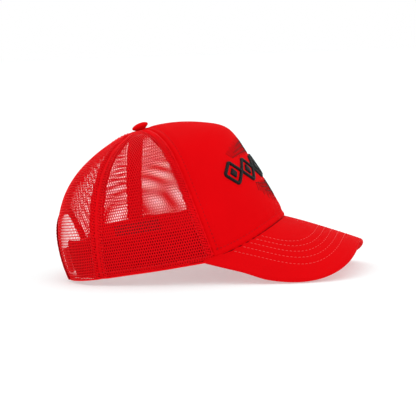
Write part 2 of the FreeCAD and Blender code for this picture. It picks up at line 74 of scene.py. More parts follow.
STRAP_HEIGHT, STRAP_BOTTOM, STRAP_THICKNESS, STRAP_FACE_X, STRAP_LAP_GAP = 22.0, 7.0, 1.4, -91.9, 0.3
STRAP_HINGE_Y, STRAP_TIP_Y, TAB_END_Y, TAB_DEPTH = 38.5, 24.0, 57.0, 2.3
STRAP_TOP, STRAP_MIDDLE = STRAP_BOTTOM + STRAP_HEIGHT, STRAP_BOTTOM + STRAP_HEIGHT / 2
TIP_ROUNDING, TAB_ROUNDING = 5.0, 1.6
SNAPS = [-18.0, -9.0, 0.0, 9.0, 18.0, 27.0]
HOLE_RADIUS = 2.15
BUTTON_RADIUS, BUTTON_HEIGHT, BUTTON_TILT = 7.4, 4.6, math.radians(13.0)
SIDES = (("right", -1.0), ("left", 1.0))
# the cloth's relief: the pinch at a seam, its depth, and the depth of the waves between seams
PINCH_WIDTH, PINCH_DEPTH, WAVE_DEPTH = 3.2, 0.8, 0.45
# how the cap stands
REST_TILT = math.radians(7.9)
REST_SHIFT = np.array([-26.37, 0.0, 13.73])


def to_frame(p):
    """Head-frame millimetres to the standing cap's metres."""
    p = np.asarray(p, float)
    c, s = math.cos(REST_TILT), math.sin(REST_TILT)
    x = p[..., 0] * c - p[..., 2] * s
    z = p[..., 2] * c + p[..., 0] * s
    return (np.stack([x, p[..., 1], z], -1) + REST_SHIFT) * MM


def smooth(x):
    x = np.clip(x, 0.0, 1.0)
    return x * x * (3.0 - 2.0 * x)


def bell(x, width):
    return np.exp(-(x / width) ** 2)


def spline_weights(count, t):
    """Clamped cubic B-spline weights at t in 0..1."""
    knots = np.concatenate([[0.0] * 3, np.linspace(0.0, 1.0, count - 2), [1.0] * 3])
    t = np.clip(t, 0.0, 1.0 - 1e-12)
    w = [((knots[i] <= t) & (t < knots[i + 1])).astype(float) for i in range(len(knots) - 1)]
    for degree in (1, 2, 3):
        raised = []
        for i in range(len(w) - 1):
            left, right = knots[i + degree] - knots[i], knots[i + degree + 1] - knots[i + 1]
            value = 0.0
            if left > 0:
                value = value + (t - knots[i]) / left * w[i]
            if right > 0:
                value = value + (knots[i + degree + 1] - t) / right * w[i + 1]
            raised.append(value)
        w = raised
    return w


def hem_point(theta):
    c, s = np.cos(theta), np.sin(theta)
    half = np.where(c >= 0, HEM_FRONT, HEM_BACK)
    power = np.where(c >= 0, FRONT_POWER, BACK_POWER)
    r = (np.abs(c / half) ** power + np.abs(s / HEM_HALF_WIDTH) ** power) ** (-1.0 / power)
    return r * c, r * s


def crown(theta, t):
    """Point on the crown's outer face; t runs from the hem plane (0) to the apex (1)."""
    theta, t = np.broadcast_arrays(np.asarray(theta, float), np.asarray(t, float))
    front = np.maximum(np.cos(theta), 0.0) ** 2
    back = np.maximum(-np.cos(theta), 0.0) ** 2
    side = 1.0 - front - back
    share = height = 0.0
    rows = zip(spline_weights(len(FRONT_MERIDIAN), t), FRONT_MERIDIAN, SIDE_MERIDIAN, BACK_MERIDIAN)
    for weight, f, s, b in rows:
        share = share + weight * (front * f[0] / FRONT_MERIDIAN[0][0] + side * s[0] / SIDE_MERIDIAN[0][0]
                                  + back * b[0] / BACK_MERIDIAN[0][0])
        height = height + weight * (front * f[1] + side * s[1] + back * b[1])
    x, y = hem_point(theta)
    return np.stack([APEX_X + share * (x - APEX_X), share * y, height], -1)


def slopes(theta, t):
    """The crown's derivatives by theta and by t."""
    e = 1e-4
    low = np.clip(t - e, 0.0, 1.0 - 2 * e)
    by_theta = (crown(theta + e, t) - crown(theta - e, t)) / (2 * e)
    by_t = (crown(theta, low + 2 * e) - crown(theta, low)) / (2 * e)
    return by_theta, by_t


def unit(v):
    return v / np.linalg.norm(v, axis=-1, keepdims=True)


def run_length(points):
    """Distance along a line of points, from its first."""
    return np.concatenate([[0], np.cumsum(np.linalg.norm(np.diff(points, axis=0), axis=-1))])


def crown_normal(theta, t):
    return unit(np.cross(*slopes(theta, t)))


def front_seam(t):
    """Angle of the seam between the front panel and the side mesh."""
    return np.radians(FRONT_SEAM_HEM + FRONT_SEAM_BULGE * (1 - ((t - FRONT_SEAM_PEAK) / FRONT_SEAM_PEAK) ** 2))


def back_seam(t):
    return np.radians(BACK_SEAM_TOP + BACK_SEAM_LEAN * (1.0 - t) ** 2)


def centre_back(t):
    return PI + 0.0 * t


def off_seam(theta, t, seam):
    """Signed distance in mm from a seam, positive towards the front."""
    rate = np.linalg.norm(slopes(theta, t)[0], axis=-1)
    return (seam(t) - np.abs(theta)) * rate


def on_line(line, along, s):
    """A line's points (or normals) at distances s; along holds the distance of each."""
    return np.stack([np.interp(s, along, column) for column in line.T], -1)


def by_seam(seam, side, offset, t):
    """theta at an offset in mm from a seam towards the front."""
    return side * (seam(t) - offset / np.linalg.norm(slopes(seam(t), t)[0], axis=-1))


def relief(theta, t):
    """How far the cloth stands off the plain crown: pinched at its seams, a little uneven between them."""
    pinch = 0.0
    for seam in (front_seam, back_seam, centre_back):
        pinch = pinch + bell(off_seam(theta, t, seam), PINCH_WIDTH)
    waves = (np.sin(5.0 * theta + 7.0 * t + 0.4) * np.sin(9.0 * t + 1.7 * theta)
             + 0.6 * np.sin(11.0 * theta - 6.0 * t + 1.3) * np.sin(14.0 * t + 0.8))
    fade = smooth((1.0 - t) / 0.15) * (0.25 + 0.75 * smooth((np.abs(theta) - 1.1) / 0.3))
    return -PINCH_DEPTH * pinch * smooth((1.0 - t) / 0.06) + WAVE_DEPTH * waves * fade


def raised(theta, t, lift):
    """Point at a height over the plain crown."""
    return crown(theta, t) + crown_normal(theta, t) * np.asarray(lift)[..., None]


def skin(theta, t, depth):
    """Point at a depth below the cloth's outer face (negative stands proud)."""
    return raised(theta, t, relief(theta, t) - np.asarray(depth, float))


def raised_path(theta, t, lift):
    return raised(theta, t, lift), crown_normal(theta, t)


def skin_path(theta, t, depth):
    return skin(theta, t, depth), crown_normal(theta, t)


def bisect(below, low, high):
    """Vectorised root: below(t) is true under the root."""
    low, high = np.array(low, float), np.array(high, float)
    for _ in range(36):
        middle = (low + high) / 2.0
        under = below(middle)
        low, high = np.where(under, middle, low), np.where(under, high, middle)
    return low


def t_at_height(theta, height):
    z = np.zeros_like(theta)
    return bisect(lambda t: crown(theta, t)[..., 2] < height, z, z + 0.6)


def t_at_ring(theta, radius):
    def outside(t):
        p = crown(theta, t)
        return np.hypot(p[..., 0] - APEX_X, p[..., 1]) > radius
    z = np.zeros_like(theta)
    return bisect(outside, z + 0.6, z + 1.0)


JOINT_X = float(crown(0.0, t_at_height(np.zeros(1), JOINT_HEIGHT)[0])[0])


def visor_height(x, y):
    ahead = x - JOINT_X
    bend = VISOR_BEND + VISOR_BEND_GROWTH * ahead
    sag = bend - np.sqrt(np.maximum(bend * bend - y * y, 1.0))
    return JOINT_HEIGHT - ahead * math.tan(VISOR_SLOPE) - VISOR_DROOP * np.maximum(ahead, 0.0) ** 2 - sag


def joint_t(theta, depth=0.0):
    """Where a layer at this depth ends below: on the visor in front, on the hem plane elsewhere."""
    def below(t):
        p = crown(theta, t) - crown_normal(theta, t) * depth
        return p[..., 2] < np.maximum(visor_height(p[..., 0], p[..., 1]) + JOINT_GAP, 0.0)
    z = np.zeros_like(theta)
    t = bisect(below, z, z + 0.6)
    return np.where(np.abs(theta) > VISOR_CORNER + 0.14, 0.0, t)


def seam_foot(t):
    """t where the front panel's seam, as it runs at t, meets the visor."""
    return float(joint_t(np.array([front_seam(t)]))[0])


def crown_at(y, z):
    """theta and t of the point on the back of the crown with this y and z."""
    y, z = np.broadcast_arrays(np.asarray(y, float), np.asarray(z, float))
    theta, t = PI - np.arcsin(np.clip(y / 95.0, -1, 1)), z / 130.0
    for _ in range(25):
        p = crown(theta, t)
        a, b = slopes(theta, t)
        det = a[..., 1] * b[..., 2] - a[..., 2] * b[..., 1]
        dy, dz = y - p[..., 1], z - p[..., 2]
        theta = theta + (dy * b[..., 2] - dz * b[..., 1]) / det
        t = np.clip(t + (dz * a[..., 1] - dy * a[..., 2]) / det, -0.2, 0.9)
    return theta, t


# ---- materials ----
def material(name, colour, rough=0.8, sheen=0.0, spread=0.06, grain=0.0006, bump=0.25, twill=None, metal=0.0,
             gloss=0.5):
    """Cloth, thread, plastic or metal: a slightly uneven colour with a grain in its bump.

    spread is how much the colour varies and grain the bump's size in metres; twill is the thread pitch
    in mm and the angles of the two sets of threads.
    """
    m = bpy.data.materials.new(name)
    m.use_nodes = True
    nodes, links = m.node_tree.nodes, m.node_tree.links

    def node(kind, **values):
        made = nodes.new("ShaderNode" + kind)
        for socket, value in values.items():
            made.inputs[socket.replace("_", " ")].default_value = value
        return made

    shader = nodes["Principled BSDF"]
    for socket, value in (("Roughness", rough), ("Metallic", metal), ("Specular IOR Level", gloss),
                          ("Sheen Weight", sheen), ("Sheen Roughness", 0.4)):
        shader.inputs[socket].default_value = value
    place = node("TexCoord")
    cloud = node("TexNoise", Scale=26.0, Detail=6.0)
    links.new(place.outputs["Object"], cloud.inputs["Vector"])
    ramp = node("ValToRGB")
    for stop, position, change in zip(ramp.color_ramp.elements, (0.3, 0.7), (1 - spread, 1 + spread)):
        stop.position = position
        stop.color = [min(c * change, 1) for c in colour] + [1]
    links.new(cloud.outputs["Fac"], ramp.inputs["Fac"])
    fine = node("TexNoise", Scale=1.0 / grain, Detail=2.0)
    links.new(place.outputs["Object"], fine.inputs["Vector"])
    height, tint = fine.outputs["Fac"], ramp.outputs["Color"]
    if twill:
        lay = node("UVMap")
        lay.uv_map = "cloth"
        threads = []
        for turn in twill[1:]:
            spin = node("Mapping", Rotation=(0, 0, turn))
            # a wave's bands repeat every 0.314 / scale
            wave = node("TexWave", Scale=0.314 / twill[0], Distortion=0.35, Detail=1.0)
            wave.bands_direction = "X"
            links.new(lay.outputs["UV"], spin.inputs["Vector"])
            links.new(spin.outputs["Vector"], wave.inputs["Vector"])
            threads.append(wave.outputs["Fac"])
        weave = node("Math")
        weave.operation = "MULTIPLY"
        links.new(threads[0], weave.inputs[0])
        links.new(threads[1], weave.inputs[1])
        both = node("Math")
        both.operation = "MULTIPLY_ADD"
        both.inputs[1].default_value = 0.35
        links.new(fine.outputs["Fac"], both.inputs[0])
        links.new(weave.outputs["Value"], both.inputs[2])
        # painted shade: the colour darkens by up to 14% where the weave is low, between the threads
        dark = node("MapRange", To_Min=0.86)
        links.new(weave.outputs["Value"], dark.inputs["Value"])
        shade = node("Mix")
        shade.data_type, shade.blend_type = "RGBA", "MULTIPLY"
        shade.inputs["Factor"].default_value = 1.0
        links.new(ramp.outputs["Color"], shade.inputs["A"])
        links.new(dark.outputs["Result"], shade.inputs["B"])
        height, tint = both.outputs["Value"], shade.outputs["Result"]
    links.new(tint, shader.inputs["Base Color"])
    lumps = node("Bump", Strength=bump, Distance=grain / 2)
    links.new(height, lumps.inputs["Height"])
    links.new(lumps.outputs["Normal"], shader.inputs["Normal"])
    return m


RED = (0.80, 0.0012, 0.0035)
SQUARE, SLANTED = (0.55, 0.0, PI / 2), (0.55, PI / 4, -PI / 4)
CLOTH = material("red_cloth", RED, 0.85, 0.004, 0.03, 0.0005, 0.25, SQUARE, gloss=0.025)
VISOR_CLOTH = material("red_visor_cloth", RED, 0.80, 0.004, 0.03, 0.0005, 0.25, SLANTED, gloss=0.035)
MESH_YARN = material("red_mesh_yarn", (0.80, 0.0012, 0.005), 0.55, 0.0, 0.06, 0.00035, 0.4, gloss=0.05)
TAPE_CLOTH = material("red_tape_cloth", (0.50, 0.002, 0.006), 0.85, 0.005, 0.08, 0.0005, 0.5,
                      (0.8, PI / 4, PI / 4), gloss=0.05)
BAND_CLOTH = material("red_band_cloth", (0.66, 0.004, 0.008), 0.85, 0.03, 0.06, 0.0005, 0.4,
                      (0.8, PI / 3, PI / 3), gloss=0.06)
# red foam darkened by painted shade: its dark red is what shows through the mesh holes as their shadow
BAND_FOAM = material("red_foam_painted_shade", (0.42, 0.002, 0.005), 0.92, 0.0, 0.06, 0.0008, 0.5, gloss=0.04)
LINING = material("lining_scrim", (0.70, 0.02, 0.03), 0.9, 0.02, 0.06, 0.0006, 0.4, (1.1, 0.0, PI / 2),
                  gloss=0.1)
FOAM = material("foam", (0.72, 0.70, 0.66), 0.95, 0.0, 0.05, 0.0008, 0.6, gloss=0.1)
THREAD = material("red_thread", (0.84, 0.006, 0.012), 0.5, 0.02, 0.06, 0.0002, 0.4, gloss=0.15)
# red thread lightened to pink: the pink tint is painted highlight on the visor's stitches
VISOR_THREAD = material("red_thread_painted_highlight", (0.86, 0.07, 0.07), 0.5, 0.02, 0.06, 0.0002, 0.4, gloss=0.2)
EMBROIDERY = material("black_embroidery", (0.004, 0.004, 0.005), 0.5, 0.01, 0.2, 0.0003, 0.9, (0.42, 0.0, 0.0),
                      gloss=0.20)
BLACK_THREAD = material("black_thread", (0.012, 0.004, 0.005), 0.6, 0.0, 0.2, 0.0002, 0.5, gloss=0.08)
# red thread darkened by painted shade: the darkness stands in for the shadow in the dimples where the front
# panel's stitches sink
THREAD_WITH_PAINTED_SHADE = material("red_thread_painted_shade", (0.42, 0.004, 0.008), 0.6, 0.01, 0.1, 0.0002, 0.5, gloss=0.08)
# painted shadow: near-black red for the cord that stands in for the shade in the visor seam's crease
PAINTED_CREASE_SHADOW = material("painted_crease_shadow", (0.16, 0.002, 0.004), 0.8, 0.0, 0.1, 0.0002, 0.3, gloss=0.03)
PLASTIC = material("red_plastic", (0.72, 0.006, 0.010), 0.40, 0.0, 0.03, 0.0009, 0.05, gloss=0.16)
TIN = material("tinplate", (0.55, 0.55, 0.56), 0.32, 0.0, 0.05, 0.0008, 0.1, metal=1.0)
BOARD = material("visor_board", (0.80, 0.80, 0.78), 0.6, 0.0, 0.03, 0.0010, 0.1)
BLACK_LABEL = material("black_label", (0.012, 0.016, 0.020), 0.6, 0.05, 0.1, 0.0003, 0.4, (0.4, 0.0, PI / 2),
                       gloss=0.2)
WHITE_LABEL = material("white_label", (0.80, 0.80, 0.78), 0.5, 0.05, 0.04, 0.0003, 0.3, (0.3, 0.0, PI / 2))


# ---- mesh building ----
def piece(name, points, faces, mat, body="cap", slot=None, uv=None, replaces=()):
    """A piece from head-frame points in mm; faces is a list of index arrays, each of one width."""
    mesh = bpy.data.meshes.new(name)
    points = to_frame(np.asarray(points, float).reshape(-1, 3))
    loops = np.concatenate([np.asarray(f).reshape(-1) for f in faces])
    sizes = np.concatenate([np.full(len(f), np.asarray(f).shape[1]) for f in faces])
    mesh.vertices.add(len(points))
    mesh.vertices.foreach_set("co", points.astype(np.float32).reshape(-1))
    mesh.loops.add(len(loops))
    mesh.loops.foreach_set("vertex_index", loops.astype(np.int32))
    mesh.polygons.add(len(sizes))
    starts = np.concatenate([[0], np.cumsum(sizes)[:-1]])
    mesh.polygons.foreach_set("loop_start", starts.astype(np.int32))
    mesh.update(calc_edges=True)
    if uv is not None:
        layer = mesh.uv_layers.new(name="cloth")
        layer.data.foreach_set("uv", np.asarray(uv, float).reshape(-1, 2)[loops].astype(np.float32).reshape(-1))
    mesh.polygons.foreach_set("use_smooth", np.ones(len(sizes), bool))
    mesh.materials.append(mat)
    mesh.validate()
    obj = bpy.data.objects.new(name, mesh)
    bpy.context.scene.collection.objects.link(obj)
    if body:
        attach(obj, body)
    if replaces:
        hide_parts(*replaces)
    return obj


def tidy_normals(obj):
    mesh = bmesh.new()
    mesh.from_mesh(obj.data)
    bmesh.ops.recalc_face_normals(mesh, faces=mesh.faces[:])
    mesh.to_mesh(obj.data)
    mesh.free()


def grid_faces(rows, columns, start=0, flip=False):
    i = np.arange(rows - 1)[:, None] * columns + np.arange(columns - 1)[None, :] + start
    quads = np.stack([i, i + 1, i + 1 + columns, i + columns], -1).reshape(-1, 4)
    return quads[:, ::-1] if flip else quads


def turns(count):
    """Angles of a ring of points."""
    return np.arange(count) * 2 * PI / count


def ring_faces(rings, sides, start=0):
    """Quads between each ring of points and the next; start is the first point's number."""
    k, after = np.arange(sides), (np.arange(sides) + 1) % sides
    base = start + np.arange(rings - 1)[:, None] * sides
    return np.stack([base + k, base + after, base + sides + after, base + sides + k], -1).reshape(-1, 4)


def tube_faces(rings, sides, start=0):
    """Rings of points closed into a tube with flat ends."""
    end = start + np.arange(sides)[None]
    return [ring_faces(rings, sides, start), end[:, ::-1], end + (rings - 1) * sides]


def arc_uv(grid):
    """Distances along a grid's rows and columns, in mm."""
    across = np.linalg.norm(np.diff(grid, axis=1), axis=-1)
    up = np.linalg.norm(np.diff(grid, axis=0), axis=-1)
    u = np.concatenate([np.zeros((grid.shape[0], 1)), np.cumsum(across, 1)], 1)
    u = u - u[:, grid.shape[1] // 2][:, None]
    v = np.concatenate([np.zeros((1, grid.shape[1])), np.cumsum(up, 0)], 0)
    return np.stack([u, v], -1)


def closed_sheet(name, outer, inner, mat, rim=1, **more):
    """Cloth between two grids of points, closed round its edge by a rounded rim."""
    rows, columns = outer.shape[:2]
    n = rows * columns
    faces = [grid_faces(rows, columns), grid_faces(rows, columns, n, flip=True)]
    loop = np.concatenate([np.arange(columns), np.arange(1, rows) * columns + columns - 1,
                           (rows - 1) * columns + np.arange(columns - 2, -1, -1),
                           np.arange(rows - 2, 0, -1) * columns])
    after = np.roll(loop, -1)
    a, b = outer.reshape(-1, 3), inner.reshape(-1, 3)
    # the rim's middle line stands out a little, so that the edge is round
    inward = np.concatenate([outer[min(1, rows - 1), :], outer[1:, -2],
                             outer[-2, columns - 2::-1], outer[rows - 2:0:-1, 1]])
    middle = (a[loop] + b[loop]) / 2
    thick = np.linalg.norm(a[loop] - b[loop], axis=-1, keepdims=True)
    away = a[loop] - inward
    length = np.linalg.norm(away, axis=-1, keepdims=True)
    middle = middle + away / np.maximum(length, 1e-6) * thick * 0.35 * rim
    m = 2 * n + np.arange(len(loop))
    m_after = np.roll(m, -1)
    faces.append(np.stack([loop, m, m_after, after], -1))
    faces.append(np.stack([m, loop + n, after + n, m_after], -1))
    uv = arc_uv(outer).reshape(-1, 2)
    obj = piece(name, np.concatenate([a, b, middle]), faces, mat, uv=np.concatenate([uv, uv, uv[loop]]), **more)
    tidy_normals(obj)
    return obj


def stitches(name, paths, mat, length, gap, radius, proud, **more):
    """Threads sewn along paths, each path (points, normals) in the head frame."""
    # places along a stitch as shares of its length, and its thickness there
    sides, shape = 6, [(-0.5, 0.25), (-0.36, 0.85), (0.0, 1.0), (0.36, 0.85), (0.5, 0.25)]
    per, angle = len(shape) * sides, turns(sides)
    caps = np.array([[0, 5, 4, 3], [0, 3, 2, 1]])
    thread = np.concatenate([ring_faces(len(shape), sides), caps, caps[:, ::-1] + per - sides])
    all_points, all_faces, count = [], [], 0
    for points, normals in paths:
        along = run_length(points)
        number = int(along[-1] / (length + gap))
        centre = (np.arange(number) + 0.5) * along[-1] / max(number, 1)
        rings = []
        for share, fat in shape:
            s = centre + share * length
            n = unit(on_line(normals, along, s))
            d = unit(on_line(points, along, s + 0.2) - on_line(points, along, s - 0.2))
            side = np.cross(n, d)
            lift = proud - (radius + proud) * (2 * share) ** 2
            mid = on_line(points, along, s) + n * lift
            ring = mid[:, None] + radius * fat * (np.cos(angle)[None, :, None] * side[:, None]
                                                  + np.sin(angle)[None, :, None] * n[:, None])
            rings.append(ring)
        base = count + np.arange(number)[:, None, None] * per
        all_faces.append((base + thread).reshape(-1, 4))
        all_points.append(np.stack(rings, 1).reshape(-1, 3))
        count += number * per
    return piece(name, np.concatenate(all_points), all_faces, mat, **more)


# ---- open mesh ----
PITCH, ROW = 2.1, 2.5
NET_REACH, NET_TOP = 60, 0.992


def lay_net(middle, first_row=0.0):
    """theta and t at each half pitch across and each row up, along lines square to a panel's middle."""
    fine = np.linspace(0.0, NET_TOP, 700)
    line = crown(middle, fine)
    length = run_length(line)
    rows = int(length[-1] / ROW) + 1
    t0 = np.interp(np.arange(rows) * ROW + first_row, length, fine)
    reach = NET_REACH
    thetas = np.zeros((rows, 2 * reach + 1))
    ts = np.zeros_like(thetas)
    for way in (1, -1):
        theta, t = np.full(rows, middle), t0.copy()
        thetas[:, reach], ts[:, reach] = theta, t
        a, _ = slopes(theta, t)
        direction = unit(a) * way
        place = crown(theta, t)
        for k in range(1, reach + 1):
            a, b = slopes(theta, t)
            want = direction * PITCH / 2
            aa, bb, ab = (a * a).sum(-1), (b * b).sum(-1), (a * b).sum(-1)
            wa, wb = (a * want).sum(-1), (b * want).sum(-1)
            det = aa * bb - ab * ab
            theta = theta + (wa * bb - wb * ab) / det
            t = np.clip(t + (wb * aa - wa * ab) / det, -0.02, 0.997)
            moved = crown(theta, t)
            n = crown_normal(theta, t)
            direction = unit(moved - place)
            direction = unit(direction - n * (direction * n).sum(-1, keepdims=True))
            place = moved
            thetas[:, reach + way * k], ts[:, reach + way * k] = theta, t
    return thetas, ts


def net_lookup(net, a, b):
    """theta and t at a half pitches from the middle and b rows up."""
    a = np.clip(a + NET_REACH, 0, 2 * NET_REACH - 1e-6)
    b = np.clip(b, 0, len(net[0]) - 1 - 1e-6)
    i, j = a.astype(int), b.astype(int)
    u, v = a - i, b - j
    found = []
    for table in net:
        found.append((table[j, i] * (1 - u) + table[j, i + 1] * u) * (1 - v)
                     + (table[j + 1, i] * (1 - u) + table[j + 1, i + 1] * u) * v)
    return found


EDGE_CELL = np.array([(1, 0), (1, 0.38), (0, 0.62), (-1, 0.38), (-1, 0), (-1, -0.38), (0, -0.62), (1, -0.38)])
# half sizes in half pitches and rows: of the hole, and of the yarn's shoulder round it
HOLE_SIZE, SHOULDER_SIZE = (0.545, 0.425), (0.78, 0.53)
YARN_HALF_THICKNESS = 0.24
# the mesh ends at the button, and leaves the opening's edge and its seams free by so much
BUTTON_RING, ARCH_MARGIN, SEAM_MARGIN = 4.5, 0.9, 0.5
# the doubled mesh beside a seam and above the hem
ALLOWANCE = 6.0


def open_mesh(name, net, inside, depth, mat, **more):
    """Knitted mesh: a six-sided cell round every hole, its yarn rounded, over the cells that inside() keeps."""
    j, c = np.meshgrid(np.arange(len(net[0]) - 1), np.arange(-NET_REACH // 2 + 1, NET_REACH // 2),
                       indexing="ij")
    a0, b0 = (2 * c + j % 2).reshape(-1).astype(float), (j + 0.5).reshape(-1)
    keep = inside(*net_lookup(net, a0, b0))
    a0, b0 = a0[keep], b0[keep]
    angle = np.arctan2(EDGE_CELL[:, 1] * ROW, EDGE_CELL[:, 0] * PITCH / 2)
    hole, shoulder = (np.stack([wide * np.cos(angle), high * np.sin(angle)], -1)
                      for wide, high in (HOLE_SIZE, SHOULDER_SIZE))
    fat = YARN_HALF_THICKNESS
    levels = [(EDGE_CELL, fat), (shoulder, fat * 0.75), (hole, 0.0), (shoulder, -fat * 0.75), (EDGE_CELL, -fat)]
    flat = np.stack([np.stack([a0, b0], -1)[:, None] + outline[None] for outline, _ in levels], 1)
    rise = np.stack([np.full((len(a0), 8), height) for _, height in levels], 1)
    key = np.concatenate([np.round(flat * 1000), np.round(rise * 1000)[..., None]], -1).reshape(-1, 3)
    _, first, index = np.unique(key.astype(np.int64), axis=0, return_index=True, return_inverse=True)
    index = index.reshape(len(a0), 5, 8)
    ab, up = flat.reshape(-1, 2)[first], rise.reshape(-1)[first]
    theta, t = net_lookup(net, ab[:, 0], ab[:, 1])
    points = skin(theta, t, depth - up)
    nxt = np.roll(index, -1, axis=2)
    faces = [np.stack([index[:, i], nxt[:, i], nxt[:, i + 1], index[:, i + 1]], -1).reshape(-1, 4)
             for i in range(4)]
    # walls where a cell has no neighbour
    top, top_next, low, low_next = (x.reshape(-1) for x in (index[:, 0], nxt[:, 0], index[:, 4], nxt[:, 4]))
    pair = np.sort(np.stack([top, top_next], -1), -1)
    _, back, uses = np.unique(pair, axis=0, return_inverse=True, return_counts=True)
    free = uses[back.reshape(-1)] == 1
    faces.append(np.stack([top, low, low_next, top_next], -1)[free])
    return piece(name, points, faces, mat, **more)


def arch_distance(theta, t):
    """Distance outside the rear opening's edge, in mm."""
    p = crown(theta, t)
    y, z = np.abs(p[..., 1]), p[..., 2]
    d = np.where(z < ARCH_SPRING, y - ARCH_HALF_WIDTH, np.hypot(y, z - ARCH_SPRING) - ARCH_HALF_WIDTH)
    return np.where(p[..., 0] < 0, d, 99.0)


def in_side_panel(theta, t):
    return ((off_seam(theta, t, front_seam) < -SEAM_MARGIN) & (off_seam(theta, t, back_seam) > SEAM_MARGIN)
            & (t > joint_t(theta)) & (t < t_at_ring(theta, BUTTON_RING)))


def in_back_panel(theta, t):
    inside = (off_seam(theta, t, back_seam) < -SEAM_MARGIN) & (off_seam(theta, t, centre_back) > SEAM_MARGIN)
    return inside & (arch_distance(theta, t) > ARCH_MARGIN) & (t < t_at_ring(theta, BUTTON_RING))


def mesh_panels():
    for word, side in SIDES:
        for panel, middle, inside, flat in (("side", math.radians(91.0), in_side_panel, (0.12, 0.14)),
                                            ("back", math.radians(149.0), in_back_panel, (0.11, 0.15))):
            def this_side(theta, t, inside=inside, side=side):
                return (np.sign(theta) == side) & inside(theta, t)

            def doubled(theta, t, this_side=this_side):
                near = np.min([np.abs(off_seam(theta, t, s)) for s in (back_seam, front_seam, centre_back)], 0)
                low = crown(theta, t)[..., 2] < ALLOWANCE
                return this_side(theta, t) & ((near < ALLOWANCE) | low)

            net = lay_net(side * middle)
            under = lay_net(side * middle + 0.011, 0.9)
            name = "mesh_" + panel + "_" + word
            body = open_mesh(name + "_cloth", net, this_side, 0.45, MESH_YARN, slot="red_mesh",
                             replaces=(name,))
            open_mesh(name + "_seam_allowance", under, doubled, 1.35, MESH_YARN, slot="red_mesh")


mesh_panels()

# ---- front panel ----
def profile(x, knots):
    """Smooth curve through (position, value) knots, level outside them."""
    at, value = np.array(knots, float).T
    i = np.clip(np.searchsorted(at, x) - 1, 0, len(at) - 2)
    share = smooth((x - at[i]) / (at[i + 1] - at[i]))
    return value[i] * (1 - share) + value[i + 1] * share


ANGLES = np.linspace(0.0, 1.3, 400)
# the stitch rows' distances from the side seams and from the visor, and the pitch of their stitches
SEAM_ROW, JOINT_ROW, STITCH = 5.2, 6.2, 3.3
FRONT_CLOTH_THICK, FRONT_TOP_RING, SCRIM_GAP, SCRIM_THICK = 0.95, 4.0, 0.02, 0.5


def front_grid(across, up, depth=0.0):
    """theta and t over the front panel: across -1..1 from seam to seam, up 0..1 from joint to button."""
    lowest, highest = joint_t(ANGLES, depth), t_at_ring(ANGLES, FRONT_TOP_RING)
    u, v = np.meshgrid(across, up)
    theta = u * front_seam(v)
    for _ in range(5):
        low = np.interp(np.abs(theta), ANGLES, lowest)
        t = low + (np.interp(np.abs(theta), ANGLES, highest) - low) * v
        theta = u * front_seam(t)
    return theta, t


def unevenness(theta, t):
    """The laminated front's broad waves, in mm."""
    return 0.35 * np.sin(2.6 * theta + 5.0 * t + 0.5) * np.sin(6.0 * t - 1.1 * theta)


def front_lift(theta, t):
    """The front cloth's relief: a roll beside each seam and above the visor, held down by its stitch row."""
    grid = crown(theta, t)
    across, above = np.moveaxis(arc_uv(grid), -1, 0)
    beside = off_seam(theta, t, front_seam)
    fade = smooth((1.0 - t) / 0.05)
    side = profile(beside, [(0, -1.5), (2.4, -0.15), (SEAM_ROW, -1.0), (11.0, 0.0)]) * fade
    low = profile(above, [(0, -2.1), (1.6, -0.45), (3.2, -0.10), (JOINT_ROW, -0.60), (11.0, 0.0)])
    lift = -np.hypot(side, low)
    # the thread draws the cloth in between its stitches, and the cloth above it puckers
    total = across[0, -1] - across[0, 0]
    pull = np.cos(2 * PI * (across - across[0, 0]) / total * int(total / STITCH))
    lift = lift - 0.32 * (0.5 + 0.5 * pull) ** 2 * bell(above - JOINT_ROW, 0.7)
    lift = lift - 0.09 * pull * bell(above - JOINT_ROW - 2.2, 1.6)
    lift = lift + 0.12 * np.sin(2 * PI * across / 12.5 + 1.4 * np.sin(across / 19.0)) * bell(above - 12.0, 6.0)
    lift = lift - 0.10 * np.cos(2 * PI * above / STITCH) * bell(beside - SEAM_ROW, 1.5) * fade
    return lift + unevenness(theta, t) * fade * smooth(above / 15.0) * smooth(beside / 15.0)


def dense_ends(near, reach, far):
    """0..1 with `near` steps up to `reach` and `far` beyond it."""
    return np.concatenate([np.linspace(0, reach, near), np.linspace(reach, 1, far)[1:]])


def front_panel():
    half = 1.0 - dense_ends(42, 0.17, 105)
    across = np.concatenate([-half, half[-2::-1]])
    theta, t = front_grid(across, dense_ends(30, 0.1, 80))
    lift = front_lift(theta, t)
    cloth = closed_sheet("front_panel_cloth", raised(theta, t, lift),
                         raised(theta, t, lift - FRONT_CLOTH_THICK), CLOTH, slot="red_cloth",
                         replaces=("front_panel_fabric",))
    half = 1.0 - dense_ends(10, 0.17, 26)
    across = np.concatenate([-half, half[-2::-1]])
    for name, node, lining, mat, slot in (
            ("front_panel_foam_pad", "front_panel_foam", False, FOAM, "white_foam"),
            ("front_panel_scrim", "front_panel_lining", True, LINING, "lining")):
        theta, t = front_grid(across * 0.992, dense_ends(9, 0.1, 40), 3.0)
        beside = off_seam(theta, t, front_seam)
        above = arc_uv(crown(theta, t))[..., 1]
        full = 2.2 * smooth(np.minimum(np.minimum(beside, above), (1 - t) * 60.0) / 16.0)
        # clear of the cloth's dips, which this coarser grid does not follow
        low = 2.1 * (1.0 - smooth((above - 8.0) / 6.0))
        cloth_back = np.maximum(0.98 - front_lift(theta, t), low)
        foam_back = np.maximum(1.8 + full, cloth_back + 0.3)
        scrim = foam_back + SCRIM_GAP
        outer, inner = (scrim, scrim + SCRIM_THICK) if lining else (cloth_back, foam_back)
        sheet = closed_sheet(name, raised(theta, t, -outer), raised(theta, t, -inner), mat, slot=slot,
                             replaces=(node,))


def seam_path(seam, side, offset, low, high, depth):
    """Points and normals along a seam, offset in mm towards the front."""
    t = np.linspace(low, high, 260)
    return skin_path(by_seam(seam, side, offset, t), t, depth)


